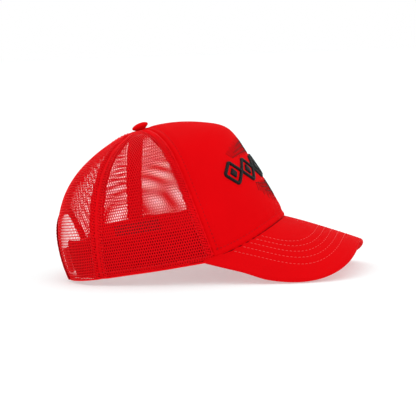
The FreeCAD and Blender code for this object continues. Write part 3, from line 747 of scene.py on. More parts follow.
def front_stitches():
    paths = []
    across = np.linspace(-0.965, 0.965, 500)
    theta, t = front_grid(across, dense_ends(60, 0.1, 10))
    above = arc_uv(crown(theta, t))[..., 1]
    rows = np.array([np.interp(JOINT_ROW, above[:, i], np.arange(len(above))) for i in range(len(across))])
    row, part = rows.astype(int), rows - rows.astype(int)
    i = np.arange(len(across))
    theta, t = (g[row, i] * (1 - part) + g[row + 1, i] * part for g in (theta, t))
    paths.append(raised_path(theta, t, -0.66))
    t = np.linspace(seam_foot(0.05) + 0.03, ROW_TOP, 260)
    for _, side in SIDES:
        paths.append(raised_path(by_seam(front_seam, side, SEAM_ROW, t), t, -1.0))
    # painted shadow: a thin dark cord laid in the crease over the visor, where the seam's shade line falls
    theta = np.linspace(-0.985, 0.985, 400) * float(front_seam(np.array(0.08)))
    crease = joint_t(theta)
    points = raised(theta, crease + 0.0012, np.full(theta.shape, -0.95))
    tube("joint_painted_shadow_cord", [(points, crown_normal(theta, crease))], 0.8, 0.8, PAINTED_CREASE_SHADOW,
         slot="red_cloth")
    # the front rows use the red thread darkened by painted shade for their dimples
    stitches("front_panel_stitches", paths, THREAD_WITH_PAINTED_SHADE, 2.1, STITCH - 2.1, 0.27, 0.06, slot="red_cloth")


# ---- visor ----
def visor_edge(share):
    centre, reach, bow = JOINT_X - VISOR_SQUARE_FROM, VISOR_REACH + VISOR_SQUARE_FROM, 0.78
    corner_x = float(crown(np.array([VISOR_CORNER]), np.zeros(1))[0, 0])
    side = np.where(share >= 0, 1.0, -1.0)
    psi = np.clip(share / bow, -1, 1) * PI / 2
    c, s = np.cos(psi), np.abs(np.sin(psi))
    r = ((c / reach) ** VISOR_POWER + (s / VISOR_HALF_WIDTH) ** VISOR_POWER) ** (-1.0 / VISOR_POWER)
    run = np.clip((np.abs(share) - bow) / (1.0 - bow), 0, 1)
    bent = np.abs(share) <= bow
    x = np.where(bent, centre + r * c, centre + (corner_x - 1.0 - centre) * run)
    waist = VISOR_WAIST * (1.0 - smooth(r * c / 24.0)) * s
    y = side * np.where(bent, r * s - waist, VISOR_HALF_WIDTH - VISOR_WAIST - 0.3 * run * run)
    return x, y


def visor_root(theta):
    def below(t):
        p = crown(theta, t) - crown_normal(theta, t) * VISOR_TUCK
        return p[..., 2] < visor_height(p[..., 0], p[..., 1])
    t = bisect(below, np.zeros_like(theta), np.zeros_like(theta) + 0.6)
    p = crown(theta, t) - crown_normal(theta, t) * VISOR_TUCK
    return p[..., 0], p[..., 1]


def on_visor(x, y, depth):
    """Point below the visor's top face, and that face's normal."""
    step = 0.05
    slope_x = (visor_height(x + step, y) - visor_height(x - step, y)) / (2 * step)
    slope_y = (visor_height(x, y + step) - visor_height(x, y - step)) / (2 * step)
    normal = unit(np.stack([-slope_x, -slope_y, np.ones_like(slope_x)], -1))
    return np.stack([x, y, visor_height(x, y)], -1) - normal * np.asarray(depth)[..., None], normal


VISOR_CLOTH_THICK, ROW_DEPTH = 0.9, 0.24
# how far round the rim the two cloths go, from above and from below
TOP_WRAP, UNDER_WRAP = 0.64 * PI, 0.60 * PI
# the topstitching: nested rounded rows, straight back at their sides
ROWS = [(49.0 + 4.75 * k, 37.6 + 5.5 * k) for k in range(5)]
ROW_CENTRE, ROW_POWER = -10.0, 3.0


def row_groove(x, y):
    """Depth of the grooves that the topstitching draws into the visor's cloth."""
    ahead, aside = np.maximum(x - JOINT_X - ROW_CENTRE, 0.0), np.abs(y)
    groove = 0.0
    for wide, reach in ROWS:
        g = ((aside / wide) ** ROW_POWER + (ahead / reach) ** ROW_POWER) ** (1 / ROW_POWER)
        g = np.maximum(g, 1e-3)
        steep = np.hypot((aside / wide) ** 2 / wide, (ahead / reach) ** 2 / reach) / g ** 2
        off = (g - 1.0) / np.maximum(steep, 1e-4)
        groove = groove + bell(off, 0.95)
    return groove


def row_paths(depth, under):
    """The five topstitch rows as (points, normals) paths."""
    lip_theta = np.linspace(0.0, VISOR_CORNER, 200)
    lip = crown(lip_theta, joint_t(lip_theta))
    paths = []
    for wide, reach in ROWS:
        start = float(np.interp(wide, lip[:, 1], lip[:, 0])) + 0.6
        psi = np.linspace(PI / 2, 0, 160)
        c, s = np.cos(psi), np.sin(psi)
        r = ((c / reach) ** ROW_POWER + (s / wide) ** ROW_POWER) ** (-1 / ROW_POWER)
        x = np.concatenate([np.linspace(start, JOINT_X + ROW_CENTRE, 60)[:-1], JOINT_X + ROW_CENTRE + r * c])
        y = np.concatenate([np.full(59, wide), r * s])
        x, y = np.concatenate([x, x[-2::-1]]), np.concatenate([y, -y[-2::-1]])
        points, normals = on_visor(x, y, np.full(x.shape, depth))
        paths.append((points, -normals if under else normals))
    return paths


def visor_cover(name, node, top, shares):
    """One face of the visor with its share of the rounded rim; the two meet under the rim's middle."""
    x0, y0 = visor_root(shares * VISOR_CORNER)
    x1, y1 = visor_edge(shares)
    length = np.hypot(x1 - x0, y1 - y0)
    half = VISOR_THICK / 2
    bend = np.linspace(0.0, TOP_WRAP, 12)[1:] if top else np.linspace(PI, UNDER_WRAP, 9)[1:]
    tuck = 0.0 if top else 0.35 * np.linspace(0, 1, 8) ** 3
    flat_run = np.concatenate([np.linspace(0.0, 0.08, 8), np.linspace(0.08, 1.0, 118)[1:]])
    grids = []
    for radius in (half, half - VISOR_CLOTH_THICK):
        flat_depth = half - radius if top else half + radius
        level = np.ones(len(flat_run))
        margin = np.concatenate([half * level, half - (radius - tuck) * np.sin(bend)])[:, None]
        depth = np.concatenate([flat_depth * level, half - (radius - tuck) * np.cos(bend)])[:, None]
        run = np.concatenate([flat_run, np.ones(len(bend))])[:, None]
        run = run * (1.0 - margin * np.minimum(1.0, length / 8.0) / length)
        x, y = x0 + (x1 - x0) * run, y0 + (y1 - y0) * run
        press = 0.30 * row_groove(x, y) * (1.0 if radius == half else 0.3)
        sway = 0.18 * np.sin(x / 13.0 + 0.6) * np.sin(y / 17.0 + 0.3) * smooth((length * (1 - run)) / 12.0)
        depth = depth + (press - sway if top else -press - sway)
        grids.append(on_visor(x, y, depth)[0])
    return closed_sheet(name, *grids, VISOR_CLOTH, slot="red_cloth", replaces=(node,))


def visor():
    shares = np.linspace(-1.0, 1.0, 261)
    top = visor_cover("visor_top_cloth", "visor_top_cover", True, shares)
    under = visor_cover("visor_under_cloth", "visor_under_cover", False, shares[::-1])
    # the visor's stitches use the thread whose pink tint is painted highlight
    for word, depth, is_under in (("top", ROW_DEPTH, False), ("under", VISOR_THICK - ROW_DEPTH, True)):
        stitches("visor_" + word + "_stitches", row_paths(depth, is_under), VISOR_THREAD, 2.5, 0.9, 0.25, 0.16,
                 slot="red_cloth")


# ---- strips and cords that follow a path ----
RIB_PITCH, RIB_FALL = 2.4, 0.5
# how far up the crown a seam's folds, its rows of stitches and its ribs run, and where they start at the hem
FOLD_TOP, ROW_TOP, RIB_TOP, SEAM_START = 0.955, 0.945, 0.93, 0.006


def tube(name, paths, wide, high, mat, sides=10, **more):
    """Rounded strips along (points, normals) paths: wide across the path, high along its normal."""
    all_points, all_faces, count = [], [], 0
    angle = turns(sides)
    for points, normals in paths:
        d = unit(np.gradient(points, axis=0))
        side = unit(np.cross(normals, d))
        size = np.ones(len(points))
        size[[0, -1]], size[[1, -2]] = 0.4, 0.85
        spokes = (np.cos(angle)[None, :, None] * side[:, None] * wide
                  + np.sin(angle)[None, :, None] * normals[:, None] * high) / 2
        rings = points[:, None] + spokes * size[:, None, None]
        all_faces += tube_faces(len(points), sides, count)
        all_points.append(rings.reshape(-1, 3))
        count += len(points) * sides
    return piece(name, np.concatenate(all_points), all_faces, mat, **more)


def hem_path(start, end, height, depth):
    """Along the crown at a height above the hem."""
    theta = np.linspace(start, end, 240)
    return skin_path(theta, t_at_height(theta, height), depth)


def arch_path(offset, depth):
    """Round the rear opening, offset in mm outside its edge."""
    straight = np.linspace(1.0, ARCH_SPRING, 9)[:-1]
    angle, wide = np.linspace(PI, 0.0, 150), ARCH_HALF_WIDTH + offset
    y = np.concatenate([np.full(8, -wide), wide * np.cos(angle), np.full(8, wide)])
    z = np.concatenate([straight, ARCH_SPRING + wide * np.sin(angle), straight[::-1]])
    return raised_path(*crown_at(y, z), -depth)


def over_arch(gap):
    """t at the centre back, a gap in mm above the rear opening's binding."""
    return float(t_at_height(np.array([PI]), ARCH_SPRING + ARCH_HALF_WIDTH + BINDING_WIDTH + gap)[0])


def seam_ribs(seam, side, near, far, low):
    """Short cords across a seam's turned-in mesh, from near to far (mm towards the front), falling forwards."""
    rise = np.linspace(low, RIB_TOP, 300)
    along = run_length(crown(seam(rise), rise))
    ribs = []
    for place in np.arange(2.0, along[-1] - 2.0, RIB_PITCH):
        offset = np.linspace(near, far, 7)
        t = np.interp(place - RIB_FALL * (offset - near), along, rise)
        ribs.append(skin_path(by_seam(seam, side, offset, t), t, -0.02))
    return ribs


def seams():
    """Folded mesh edges, seam stitching and the hem."""
    folds, threads, ribs = [], [], []

    def sew(seam, side, low, fold_depth, fold_offsets, rib_spans, row_offsets):
        folds.extend(seam_path(seam, side, offset, low, FOLD_TOP, fold_depth) for offset in fold_offsets)
        threads.extend(seam_path(seam, side, offset, low, ROW_TOP, -0.12) for offset in row_offsets)
        for near, far in rib_spans:
            ribs.extend(seam_ribs(seam, side, near, far, low))

    for _, side in SIDES:
        sew(front_seam, side, seam_foot(0.0) + 0.01, 0.30, [-0.8], [(-1.7, -6.3)], [-6.6])
        sew(back_seam, side, SEAM_START, 0.25, [-0.7, 0.7], [(1.4, 5.4), (-5.4, -1.4)], [-5.6, 5.6])
    for _, side in SIDES:
        sew(centre_back, side, over_arch(0.0), 0.25, [0.7], [(1.4, 5.4)], [5.6])
    tube("mesh_seam_folds", folds, 1.25, 0.95, MESH_YARN, slot="red_mesh")
    tube("mesh_seam_ribs", ribs, 1.2, 1.0, MESH_YARN, 8, slot="red_mesh")
    # the hem: mesh folded under, with its row of stitches
    hem, rows = [], []
    reach = PI - math.asin(ARCH_HALF_WIDTH / 78.0)
    for _, side in SIDES:
        hem.append(hem_path(side * (VISOR_CORNER - 0.06), side * reach, 0.75, 0.55))
        rows.append(hem_path(side * (VISOR_CORNER - 0.02), side * reach, 5.6, -0.10))
    tube("hem_fold", hem, 1.6, 1.9, MESH_YARN, slot="red_mesh")
    stitches("seam_stitches", threads + rows, THREAD, 2.2, 1.0, 0.26, 0.14, slot="red_mesh")


def tape(name, node, seam, side, low, high, lean):
    """Woven tape sewn over a seam inside, ribbed along its edges."""
    across = np.linspace(-TAPE_HALF_WIDTH, TAPE_HALF_WIDTH, 29)
    t = np.repeat(np.linspace(low, high, 130)[:, None], len(across), 1)
    rate = np.linalg.norm(slopes(seam(t), t)[0], axis=-1)
    theta = side * (seam(t) - across / rate)
    outer = (2.55 + TAPE_LEAN * across if lean else 1.15 + 0.0 * across)
    press = 0.16 * (bell(np.abs(across) - TAPE_ROW, 0.5) + bell(across, 0.5))
    grids = [skin(theta, t, outer + 0.0 * t), skin(theta, t, outer + 0.78 - press + 0.0 * t)]
    sheet = closed_sheet(name, grids[0], grids[1], TAPE_CLOTH, slot="red_tape", replaces=(node,))
    t, rate, inward = t[:, 0], rate[:, 14], -crown_normal(theta[:, 14], t[:, 0])
    return [(skin(side * (seam(t) - row / rate), t, depth), inward)
            for row, depth in zip((-TAPE_ROW, TAPE_ROW), outer[[4, 23]] + 0.68)]


def tapes():
    rows = []
    low = seam_foot(0.0) + 0.03
    for word, side in SIDES:
        rows += tape("front_seam_tape_" + word, "seam_tape_front_" + word, front_seam, side, low, 0.94, True)
        rows += tape("back_seam_tape_" + word, "seam_tape_back_" + word, back_seam, side, 0.012, 0.93, False)
    rows += tape("centre_back_tape", "seam_tape_centre_back", centre_back, 1.0, over_arch(0.8), 0.93, False)
    stitches("tape_stitches", rows, THREAD, 2.4, 0.9, 0.22, 0.12, slot="red_tape")


def binding():
    """Bias tape folded over the mesh round the rear opening."""
    turn = np.linspace(-PI / 2, -3 * PI / 2, 9)
    run = np.linspace(BINDING_WIDTH, 1.4, 7)
    middle = np.concatenate([np.stack([run, np.full(7, -0.47)], -1),
                             np.stack([1.27 + 0.92 * np.cos(turn), 0.45 + 0.92 * np.sin(turn)], -1),
                             np.stack([run[::-1], np.full(7, 1.37)], -1)])
    along = unit(np.gradient(middle, axis=0))
    out = np.stack([along[:, 1], -along[:, 0]], -1)
    thick = np.full((len(middle), 1), 0.34)
    thick[[0, -1]] = 0.15
    loop = np.concatenate([middle - out * thick, (middle + out * thick)[::-1]])
    rails = []
    for s, depth in loop:
        points, normals = arch_path(s, depth)
        ripple = 0.07 * np.sin(np.arange(len(points)) * 1.15) * smooth((BINDING_WIDTH - s) / 2.0)
        rails.append(points + normals * ripple[:, None])
    rings = np.stack(rails, 1)
    n, sides = rings.shape[:2]
    half = np.arange(sides // 2 - 1)
    cap = np.stack([half, half + 1, sides - 2 - half, sides - 1 - half], -1)
    faces = [ring_faces(n, sides), cap[:, ::-1], cap + (n - 1) * sides]
    uv = np.stack(np.broadcast_arrays(run_length(loop)[None], run_length(rings[:, 0])[:, None]), -1)
    cloth = piece("opening_binding", rings.reshape(-1, 3), faces, TAPE_CLOTH, slot="red_tape", uv=uv,
                  replaces=("arch_binding",))
    points, normals = arch_path(4.7, -0.80)
    inner, back = arch_path(4.7, 1.70)
    stitches("binding_stitches", [(points, normals), (inner, -back)], THREAD, 2.3, 0.9, 0.24, 0.14,
             slot="red_tape")


# ---- sweatband ----
# depths below the band's place: its foam's back, its cloth's face and back, and its stitches
BAND_FOAM_BACK, BAND_FACE, BAND_BACK, BAND_ROWS = 0.84, 0.9, 1.75, 1.72


def band_depth(theta):
    return profile(np.abs(np.degrees(theta)), BAND_DEPTHS)


def band_grid(across, up):
    theta = np.repeat((np.asarray(across) * BAND_END)[None], len(up), 0)
    lip = crown(theta[0], joint_t(theta[0]))[..., 2]
    ahead = smooth((math.degrees(VISOR_CORNER) + 6 - np.abs(np.degrees(theta[0]))) / 8)
    bottom = np.maximum(lip - 3.6 * ahead, 1.0)
    top = bottom + BAND_HEIGHT - 1.0 - 2.0 * np.cos(theta[0])
    return theta, t_at_height(theta, bottom + (top - bottom) * np.asarray(up)[:, None])


def sweatband():
    across, up = np.linspace(-1, 1, 301), np.linspace(0, 1, 26)
    theta, t = band_grid(across, up)
    depth = band_depth(theta)
    rib = 0.10 * np.sin(2 * PI * (up * BAND_HEIGHT) / 5.2)[:, None] + 0.05 * np.sin(theta * 61.0 + 3 * t)
    foam = closed_sheet("sweatband_foam_strip", raised(theta, t, -depth),
                        raised(theta, t, -depth - BAND_FOAM_BACK), BAND_FOAM, slot="red_cloth",
                        replaces=("sweatband_foam",))
    face = closed_sheet("sweatband_cloth", raised(theta, t, -depth - BAND_FACE),
                        raised(theta, t, -depth - BAND_BACK - rib), BAND_CLOTH,
                        slot="red_cloth", replaces=("sweatband_face",))
    folds, rows = [], []
    for place in (1.0, 0.0):
        th, tt = (g[0] for g in band_grid(across, [place]))
        folds.append(raised_path(th, tt, -band_depth(th) - BAND_FACE))
    for place in (0.93, 0.14):
        th, tt = (g[0] for g in band_grid(across, [place]))
        rows.append((raised(th, tt, -band_depth(th) - BAND_ROWS), -crown_normal(th, tt)))
    tube("sweatband_folds", folds, 2.2, 1.9, BAND_CLOTH, slot="red_cloth")
    stitches("sweatband_stitches", rows, THREAD, 2.6, 0.9, 0.24, 0.16, slot="red_cloth")


# ---- button ----
BUTTON_EDGE, BUTTON_CLOTH = 1.7, 0.65


def button():
    """The cloth cover: its dome, its gathered skirt tucked under, and its inner face."""
    a = np.linspace(0.02, PI / 2, 18)
    height = BUTTON_HEIGHT - BUTTON_EDGE
    dome = np.stack([BUTTON_RADIUS * np.sin(a), BUTTON_EDGE + height * np.cos(a)], -1)
    # radius and height, from the widest place down and round to the inside
    skirt = np.array([(7.35, 1.35), (7.15, 0.9), (6.8, 0.5), (6.3, 0.15), (5.7, -0.3), (4.6, -0.9), (3.9, -1.8),
                      (3.8, -3.0), (3.3, -3.0), (3.4, -1.7), (4.1, -0.5), (5.4, 0.5)])
    a = a[::-1]
    back = np.stack([(BUTTON_RADIUS - BUTTON_CLOTH) * np.sin(a),
                     BUTTON_EDGE + (height - BUTTON_CLOTH) * np.cos(a)], -1)
    outline = np.concatenate([dome, skirt, back])
    phi = np.linspace(0, 2 * PI, 96, endpoint=False)
    r, z = outline[:, :1], outline[:, 1:]
    gather = smooth((r - 4.5) / 2.9) * (np.arange(len(outline))[:, None] < len(dome) + len(skirt))
    pleat = 0.10 * np.sin(phi * 17 + 0.7 * np.sin(phi * 3)) + 0.06 * np.sin(phi * 31 + 1.0)
    r = r + pleat[None] * gather
    local = np.stack(np.broadcast_arrays(r * np.cos(phi), r * np.sin(phi), z), -1)
    c, s = math.cos(BUTTON_TILT), math.sin(BUTTON_TILT)
    top = float(crown(0.0, 1.0)[2]) + 1.0
    points = np.stack([local[..., 0] * c - local[..., 2] * s + APEX_X + 0.4, local[..., 1],
                       local[..., 0] * s + local[..., 2] * c + top], -1)
    n, sides = points.shape[:2]
    k = np.arange(sides)[None]
    faces = [np.roll(ring_faces(n, sides)[:, ::-1], 1, axis=1), k, (n - 1) * sides + k[:, ::-1]]
    piece("button_cloth", points, faces, CLOTH, slot="red_cloth", uv=local[..., :2],
          replaces=("button_cover",))


# ---- labels ----
LABEL_CLEARANCE = 0.4


def label(name, node, angles, heights, thick, mat, slot):
    """A label laid on the band between two angles in degrees and two heights; returns its stitch lines."""
    theta, height = np.meshgrid(np.radians(np.linspace(*angles, 33)), np.linspace(*heights, 15))
    t = t_at_height(theta, height)
    depth = band_depth(theta) + BAND_BACK + LABEL_CLEARANCE
    curl = 0.12 * np.sin(theta * 40.0) * np.sin(height / 5.0)
    sheet = closed_sheet(name, raised(theta, t, -depth - curl), raised(theta, t, -depth - thick - curl), mat,
                         slot=slot, replaces=(node,))
    paths = []
    for edge in (1, -2):
        th, tt = theta[1:-1, edge], t[1:-1, edge]
        paths.append((raised(th, tt, -depth[1:-1, edge] - thick - curl[1:-1, edge]), -crown_normal(th, tt)))
    return paths


def labels():
    rows = label("inner_label_cloth", "inner_label", (112.0, 137.5), (18.0, 31.5), 0.45, BLACK_LABEL,
                 "black_label")
    stitches("inner_label_stitches", rows, BLACK_THREAD, 1.6, 0.8, 0.16, 0.12, slot="black_label")
    rows = label("care_label_cloth", "care_label", (-100, -84), (4.0, 30.0), 0.35, WHITE_LABEL, "white_label")
    stitches("care_label_stitches", rows, THREAD, 1.6, 0.8, 0.16, 0.12, slot="white_label")


# ---- emblem: raised geometric embroidery with fine lines round it ----
EMBLEM_MIDDLE = 69.5
LOZENGE_PITCH, OUTLINE_WIDTH, CORE_WIDTH, CORE_REACH = 22.0, 3.2, 8.8, 4.6
PUFF_HEIGHT, PUFF_ROOT = 1.65, 0.35


def emblem_place(a, b):
    """theta and t at a mm round the front from its middle and b mm above the emblem's middle."""
    angles = np.linspace(-0.8, 0.8, 400)
    line = crown(angles, t_at_height(angles, EMBLEM_MIDDLE + 0 * angles))
    length = run_length(line)
    theta = np.interp(a, length - length[-1] / 2, angles)
    return theta, t_at_height(theta, EMBLEM_MIDDLE + 0.93 * np.asarray(b, float))


def resample(points, step):
    """A closed line at even steps, its first point again at the end."""
    points = np.concatenate([points, points[:1]])
    along = run_length(points)
    return on_line(points, along, np.linspace(0, along[-1], max(int(along[-1] / step), 4) + 1))


def rounded_lozenge(half_wide, half_high, radius):
    """Lozenge with rounded corners, as (a, b) points."""
    tilt = math.atan2(half_wide, half_high)
    points = []
    for k, (cx, cy) in enumerate(((half_wide - radius, 0), (0, half_high - radius), (radius - half_wide, 0),
                                  (0, radius - half_high))):
        spread_to = tilt if k % 2 == 0 else PI / 2 - tilt
        turn = k * PI / 2 + np.linspace(-spread_to, spread_to, 9)
        points.append(np.stack([cx + radius * np.cos(turn), cy + radius * np.sin(turn)], -1))
    return np.concatenate(points)


def puff(name, line, width, closed=False):
    """Satin stitch over padding along a line of (a, b) points; the width may vary along it."""
    width = np.broadcast_to(np.asarray(width, float), len(line))[None, :, None]
    q = np.linspace(-1, 1, 13)
    ahead = np.gradient(line, axis=0)
    if closed:
        ahead[[0, -1]] = line[1] - line[-2]
    ahead = unit(ahead)
    across = np.stack([-ahead[:, 1], ahead[:, 0]], -1)
    ends = np.ones(len(line))
    if not closed:
        far = np.minimum(np.arange(len(line)), np.arange(len(line))[::-1]) * 0.45
        ends = np.sqrt(1 - np.clip(1 - (far + 0.15) / 1.6, 0, 1) ** 2)
    spread_out = q[:, None, None] * across[None] * (width / 2) * (0.55 + 0.45 * ends[None, :, None])
    a, b = np.moveaxis(line[None] + spread_out, -1, 0)
    theta, t = emblem_place(a, b)
    base = unevenness(theta, t)
    twist = 0.06 * np.sin(np.arange(len(line)) * 2.1)[None] * (1 - q[:, None] ** 2)
    rise = PUFF_HEIGHT * (1 - np.abs(q[:, None]) ** 3) ** 0.5 * ends[None] + twist
    return closed_sheet(name, raised(theta, t, base + rise), raised(theta, t, base - PUFF_ROOT), EMBROIDERY,
                        slot="black_thread", rim=0)


def emblem():
    lozenge = rounded_lozenge(10.0, 9.8, 2.0)
    for k in range(-2, 3):
        middle = np.array([LOZENGE_PITCH * k, 0.0])
        outline = middle + resample(lozenge, 0.45)
        puff("emblem_lozenge_%d" % (k + 3), outline, OUTLINE_WIDTH, True)
        core = np.stack([np.zeros(25), np.linspace(CORE_REACH, -CORE_REACH, 25)], -1)
        width = CORE_WIDTH * (1.04 - np.abs(core[:, 1]) / CORE_REACH)
        puff("emblem_core_%d" % (k + 3), middle + core, width)
    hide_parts("front_emblem")
    # fine lines: a wide fan above and a narrower, longer one below, crossed by arcs
    fans = []
    for way, spacing, count, reach, long in ((1.0, 3.0, 12, 42.0, 15.0), (-1.0, 2.3, 9, 25.0, 20.0)):
        for k in range(-count, count + 1):
            a = spacing * k
            rise = long * (1.0 - (a / reach) ** 2) * (1.0 if k % 2 else 0.66) + 2.0
            start = 13.0 + (0.0 if k % 2 else 1.5)
            fans.append(np.linspace((a, way * start), (a * 1.12, way * (start + rise)), 24))
        for share, height in ((0.85, 14.5), (0.68, 18.5), (0.46, 23.0)):
            a = np.linspace(-reach * share, reach * share, 90)
            fans.append(np.stack([a, way * (height + 2.0 - 3.0 * (a / reach / share) ** 2)], -1))
    paths = []
    for line in fans:
        theta, t = emblem_place(line[:, 0], line[:, 1])
        paths.append(raised_path(theta, t, 0.04 + unevenness(theta, t)))
    tube("emblem_fine_lines", paths, 0.52, 0.40, BLACK_THREAD, 6, slot="black_thread")


# ---- snap strap ----
def strap_place(side, face_x, along, z, inward):
    """Strap point: straight across the opening, then, towards its tab, along the cap's wall."""
    start = STRAP_HINGE_Y + STRAP_THICKNESS / 2 + 0.3
    theta, t = crown_at(side * np.maximum(along, start), z)
    wall = crown(theta, t) - crown_normal(theta, t) * (TAB_DEPTH + inward)[:, None]
    straight = np.stack([face_x + inward, side * along, z], -1)
    share = smooth((along - start) / 9.0)[:, None]
    return straight * (1 - share) + wall * share


def strap_outline(inset):
    """Rounded outline of the strap laid flat, drawn in by inset."""
    low, high = -STRAP_TIP_Y + inset, TAB_END_Y - inset
    bottom, top = STRAP_BOTTOM + inset, STRAP_TOP - inset
    corners = []
    for cx, cz, radius, first in ((low, bottom, TIP_ROUNDING, PI), (high, bottom, TAB_ROUNDING, -PI / 2),
                                  (high, top, TAB_ROUNDING, 0.0), (low, top, TIP_ROUNDING, PI / 2)):
        r = max(radius - inset, 0.3)
        centre = (cx + r if cx == low else cx - r, cz + r if cz == bottom else cz - r)
        turn = first + np.linspace(0, PI / 2, 7)
        corners.append(np.stack([centre[0] + r * np.cos(turn), centre[1] + r * np.sin(turn)], -1))
    return resample(np.concatenate(corners), 0.8)[:-1]


STRAP_BEAD = 0.16


def strap(name, side, face_x, nodes, holes):
    """One strap half with its tab, meshed flat from its outlines and then laid in place."""
    middle = STRAP_MIDDLE
    # loops of the flat layout with how far each stands proud of the face; the first and the bores are edges
    loops = [(strap_outline(inset), rise, inset == 0.0) for inset, rise in
             ((0.0, -0.35), (0.12, -0.12), (0.35, 0.0), (1.1, 0.0), (1.35, STRAP_BEAD), (1.9, STRAP_BEAD),
              (2.15, 0.0))]
    circle = turns(32)
    if holes:
        for w in SNAPS:
            for radius, rise, edge in ((HOLE_RADIUS, -0.30, True), (2.4, STRAP_BEAD, False),
                                       (3.0, STRAP_BEAD, False), (3.25, 0.0, False)):
                ring = np.stack([w + radius * np.cos(circle), middle + radius * np.sin(circle)], -1)
                loops.append((ring, rise, edge))
    points, rises, links, edges = [], [], [], []
    for loop, rise, edge in loops:
        first = len(points)
        points += [tuple(p) for p in loop]
        rises += [rise] * len(loop)
        ids = list(range(first, len(points)))
        links += list(zip(ids, ids[1:] + ids[:1]))
        if edge:
            edges.append(ids)
    for w in np.arange(-STRAP_TIP_Y + 3.5, TAB_END_Y - 2.5, 1.5):
        for z in np.arange(STRAP_BOTTOM + 3.2, STRAP_TOP - 2.6, 1.9):
            near = min(math.hypot(w - c, z - middle) for c in SNAPS) if holes else 99.0
            corner = w < -STRAP_TIP_Y + 6.0 and abs(z - middle) > 4.0
            if near > 3.9 and not corner:
                points.append((w, z))
                rises.append(0.0)
    found, _, triangles, origin, _, _ = delaunay_2d_cdt([Vector(p) for p in points], links, [], 0, 1e-5)
    flat = np.array([tuple(v) for v in found])
    rise = np.array([rises[ids[0]] for ids in origin])
    where = {ids[0]: i for i, ids in enumerate(origin)}
    tri = np.array([list(f) for f in triangles])
    centre = flat[tri].mean(1)
    keep = inside_outline(centre)
    if holes:
        for w in SNAPS:
            keep &= np.hypot(centre[:, 0] - w, centre[:, 1] - middle) > HOLE_RADIUS * 0.995
    tri = tri[keep]
    n = len(flat)
    outer = strap_place(side, face_x, flat[:, 0], flat[:, 1], -rise)
    inner = strap_place(side, face_x, flat[:, 0], flat[:, 1], STRAP_THICKNESS + np.minimum(rise, 0.0))
    faces = [tri, tri[:, ::-1] + n]
    for ids in edges:
        ids = np.array([where[i] for i in ids])
        after = np.roll(ids, -1)
        faces.append(np.stack([ids, ids + n, after + n, after], -1))
    obj = piece(name, np.concatenate([outer, inner]), faces, PLASTIC, body=None, slot="strap_plastic",
                replaces=nodes)
    tidy_normals(obj)
    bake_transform(obj)
    return obj


def inside_outline(p):
    """Whether flat points lie within the strap's rounded outline."""
    x, z = p.T
    good = (x > -STRAP_TIP_Y) & (x < TAB_END_Y) & (z > STRAP_BOTTOM) & (z < STRAP_TOP)
    for edge_x, way_x, r in ((-STRAP_TIP_Y, -1, TIP_ROUNDING), (TAB_END_Y, 1, TAB_ROUNDING)):
        for edge_z, way_z in ((STRAP_BOTTOM, -1), (STRAP_TOP, 1)):
            out_x, out_z = (x - edge_x) * way_x + r, (z - edge_z) * way_z + r
            good &= ~((out_x > 0) & (out_z > 0) & (np.hypot(out_x, out_z) > r))
    return good


def pegs(face_x):
    """Moulded studs: a stem under a rounded head."""
    # radius and how far it stands out, from the foot to the head's middle
    outline = np.array([(1.75, -0.35), (1.45, 0.0), (1.35, 0.35), (1.38, 0.85), (1.9, 1.05), (2.0, 1.25),
                        (1.92, 1.6), (1.55, 1.88), (0.9, 1.99), (0.05, 2.0)])
    sides = 28
    angle = turns(sides)
    r, out = outline[:, :1], outline[:, 1:]
    blocks, faces = [], []
    for i, w in enumerate(SNAPS):
        ring = np.stack(np.broadcast_arrays(face_x - out, w + r * np.cos(angle),
                                            STRAP_MIDDLE + r * np.sin(angle)), -1)
        faces += tube_faces(len(outline), sides, i * len(outline) * sides)
        blocks.append(ring.reshape(-1, 3))
    piece("strap_pegs_studs", np.concatenate(blocks), faces, PLASTIC, body="strap_left", slot="strap_plastic")


def straps():
    strap("strap_with_holes", -1.0, STRAP_FACE_X, ("strap_holes", "strap_holes_tab"), True)
    inner_x = STRAP_FACE_X + STRAP_THICKNESS + STRAP_LAP_GAP
    strap("strap_with_pegs", 1.0, inner_x, ("strap_pegs", "strap_pegs_tab"), False)
    pegs(inner_x)


front_panel()
front_stitches()
visor()
seams()
tapes()
binding()
sweatband()
button()
labels()
emblem()
straps()
for node, mat in (("button_shell", TIN), ("button_post", TIN), ("button_washer", TIN), ("visor_board", BOARD)):
    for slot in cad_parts[node].material_slots:
        slot.material = mat

# ---- camera, light and floor ----
# metres to a pixel at the aimed point, the picture's width in pixels, the film's in mm
SCALE, PICTURE, FILM = 0.885 * MM, 416, 36.0
DISTANCE = 1.8
AZIMUTH, ELEVATION, ROLL = math.radians(10.25), math.radians(6.1), math.radians(2.26)
AIM = Vector((-0.0016, 0.0, 0.0574))
# area lights: place, size and power
LIGHTS = (("key", (0.9, -1.2, 1.5), 0.8, 3.0), ("top", (-0.1, 0.2, 1.6), 1.0, 2.0))
LIT_POINT, FLOOR_REACH = Vector((0, 0, 0.06)), 6.0


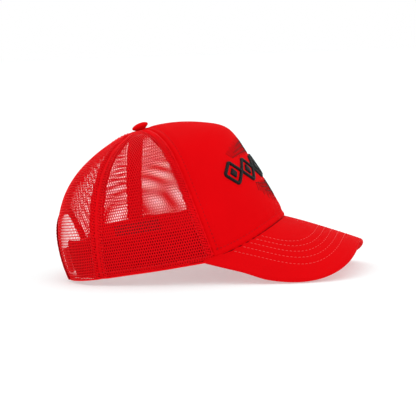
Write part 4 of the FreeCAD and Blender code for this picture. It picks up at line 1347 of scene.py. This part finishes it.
def camera():
    back = Vector((math.sin(AZIMUTH) * math.cos(ELEVATION), -math.cos(AZIMUTH) * math.cos(ELEVATION),
                   math.sin(ELEVATION)))
    right = Vector((0, 0, 1)).cross(back).normalized()
    up = back.cross(right)
    right, up = right * math.cos(ROLL) - up * math.sin(ROLL), up * math.cos(ROLL) + right * math.sin(ROLL)
    data = bpy.data.cameras.new("camera")
    data.sensor_width = FILM
    data.lens = FILM * DISTANCE / (PICTURE * SCALE)
    data.clip_end = 20.0
    obj = bpy.data.objects.new("camera", data)
    turn = Matrix((right, up, back)).transposed().to_4x4()
    obj.matrix_world = Matrix.Translation(AIM + back * DISTANCE) @ turn
    bpy.context.scene.collection.objects.link(obj)
    bpy.context.scene.camera = obj


def studio():
    world = bpy.data.worlds.new("studio")
    world.use_nodes = True
    world.node_tree.nodes["Background"].inputs["Color"].default_value = (1, 1, 1, 1)
    world.node_tree.nodes["Background"].inputs["Strength"].default_value = 1.0
    scene = bpy.context.scene
    scene.world = world
    scene.view_settings.view_transform = "Standard"
    for name, place, size, power in LIGHTS:
        data = bpy.data.lights.new(name, "AREA")
        data.size, data.energy = size, power
        obj = bpy.data.objects.new(name, data)
        obj.location = place
        obj.rotation_euler = (LIT_POINT - Vector(place)).to_track_quat("-Z", "Y").to_euler()
        scene.collection.objects.link(obj)
    paper = bpy.data.materials.new("floor_paper")
    paper.use_nodes = True
    for socket, value in (("Base Color", (0.60, 0.66, 0.66, 1)), ("Roughness", 0.9),
                          ("Specular IOR Level", 0.1), ("Emission Color", (1, 1, 1, 1)),
                          ("Emission Strength", 0.4)):
        paper.node_tree.nodes["Principled BSDF"].inputs[socket].default_value = value
    mesh, r = bpy.data.meshes.new("floor"), FLOOR_REACH
    mesh.from_pydata([(-r, -r, 0), (r, -r, 0), (r, r, 0), (-r, r, 0)], [], [(0, 1, 2, 3)])
    mesh.materials.append(paper)
    floor = bpy.data.objects.new("floor", mesh)
    scene.collection.objects.link(floor)


camera()
studio()
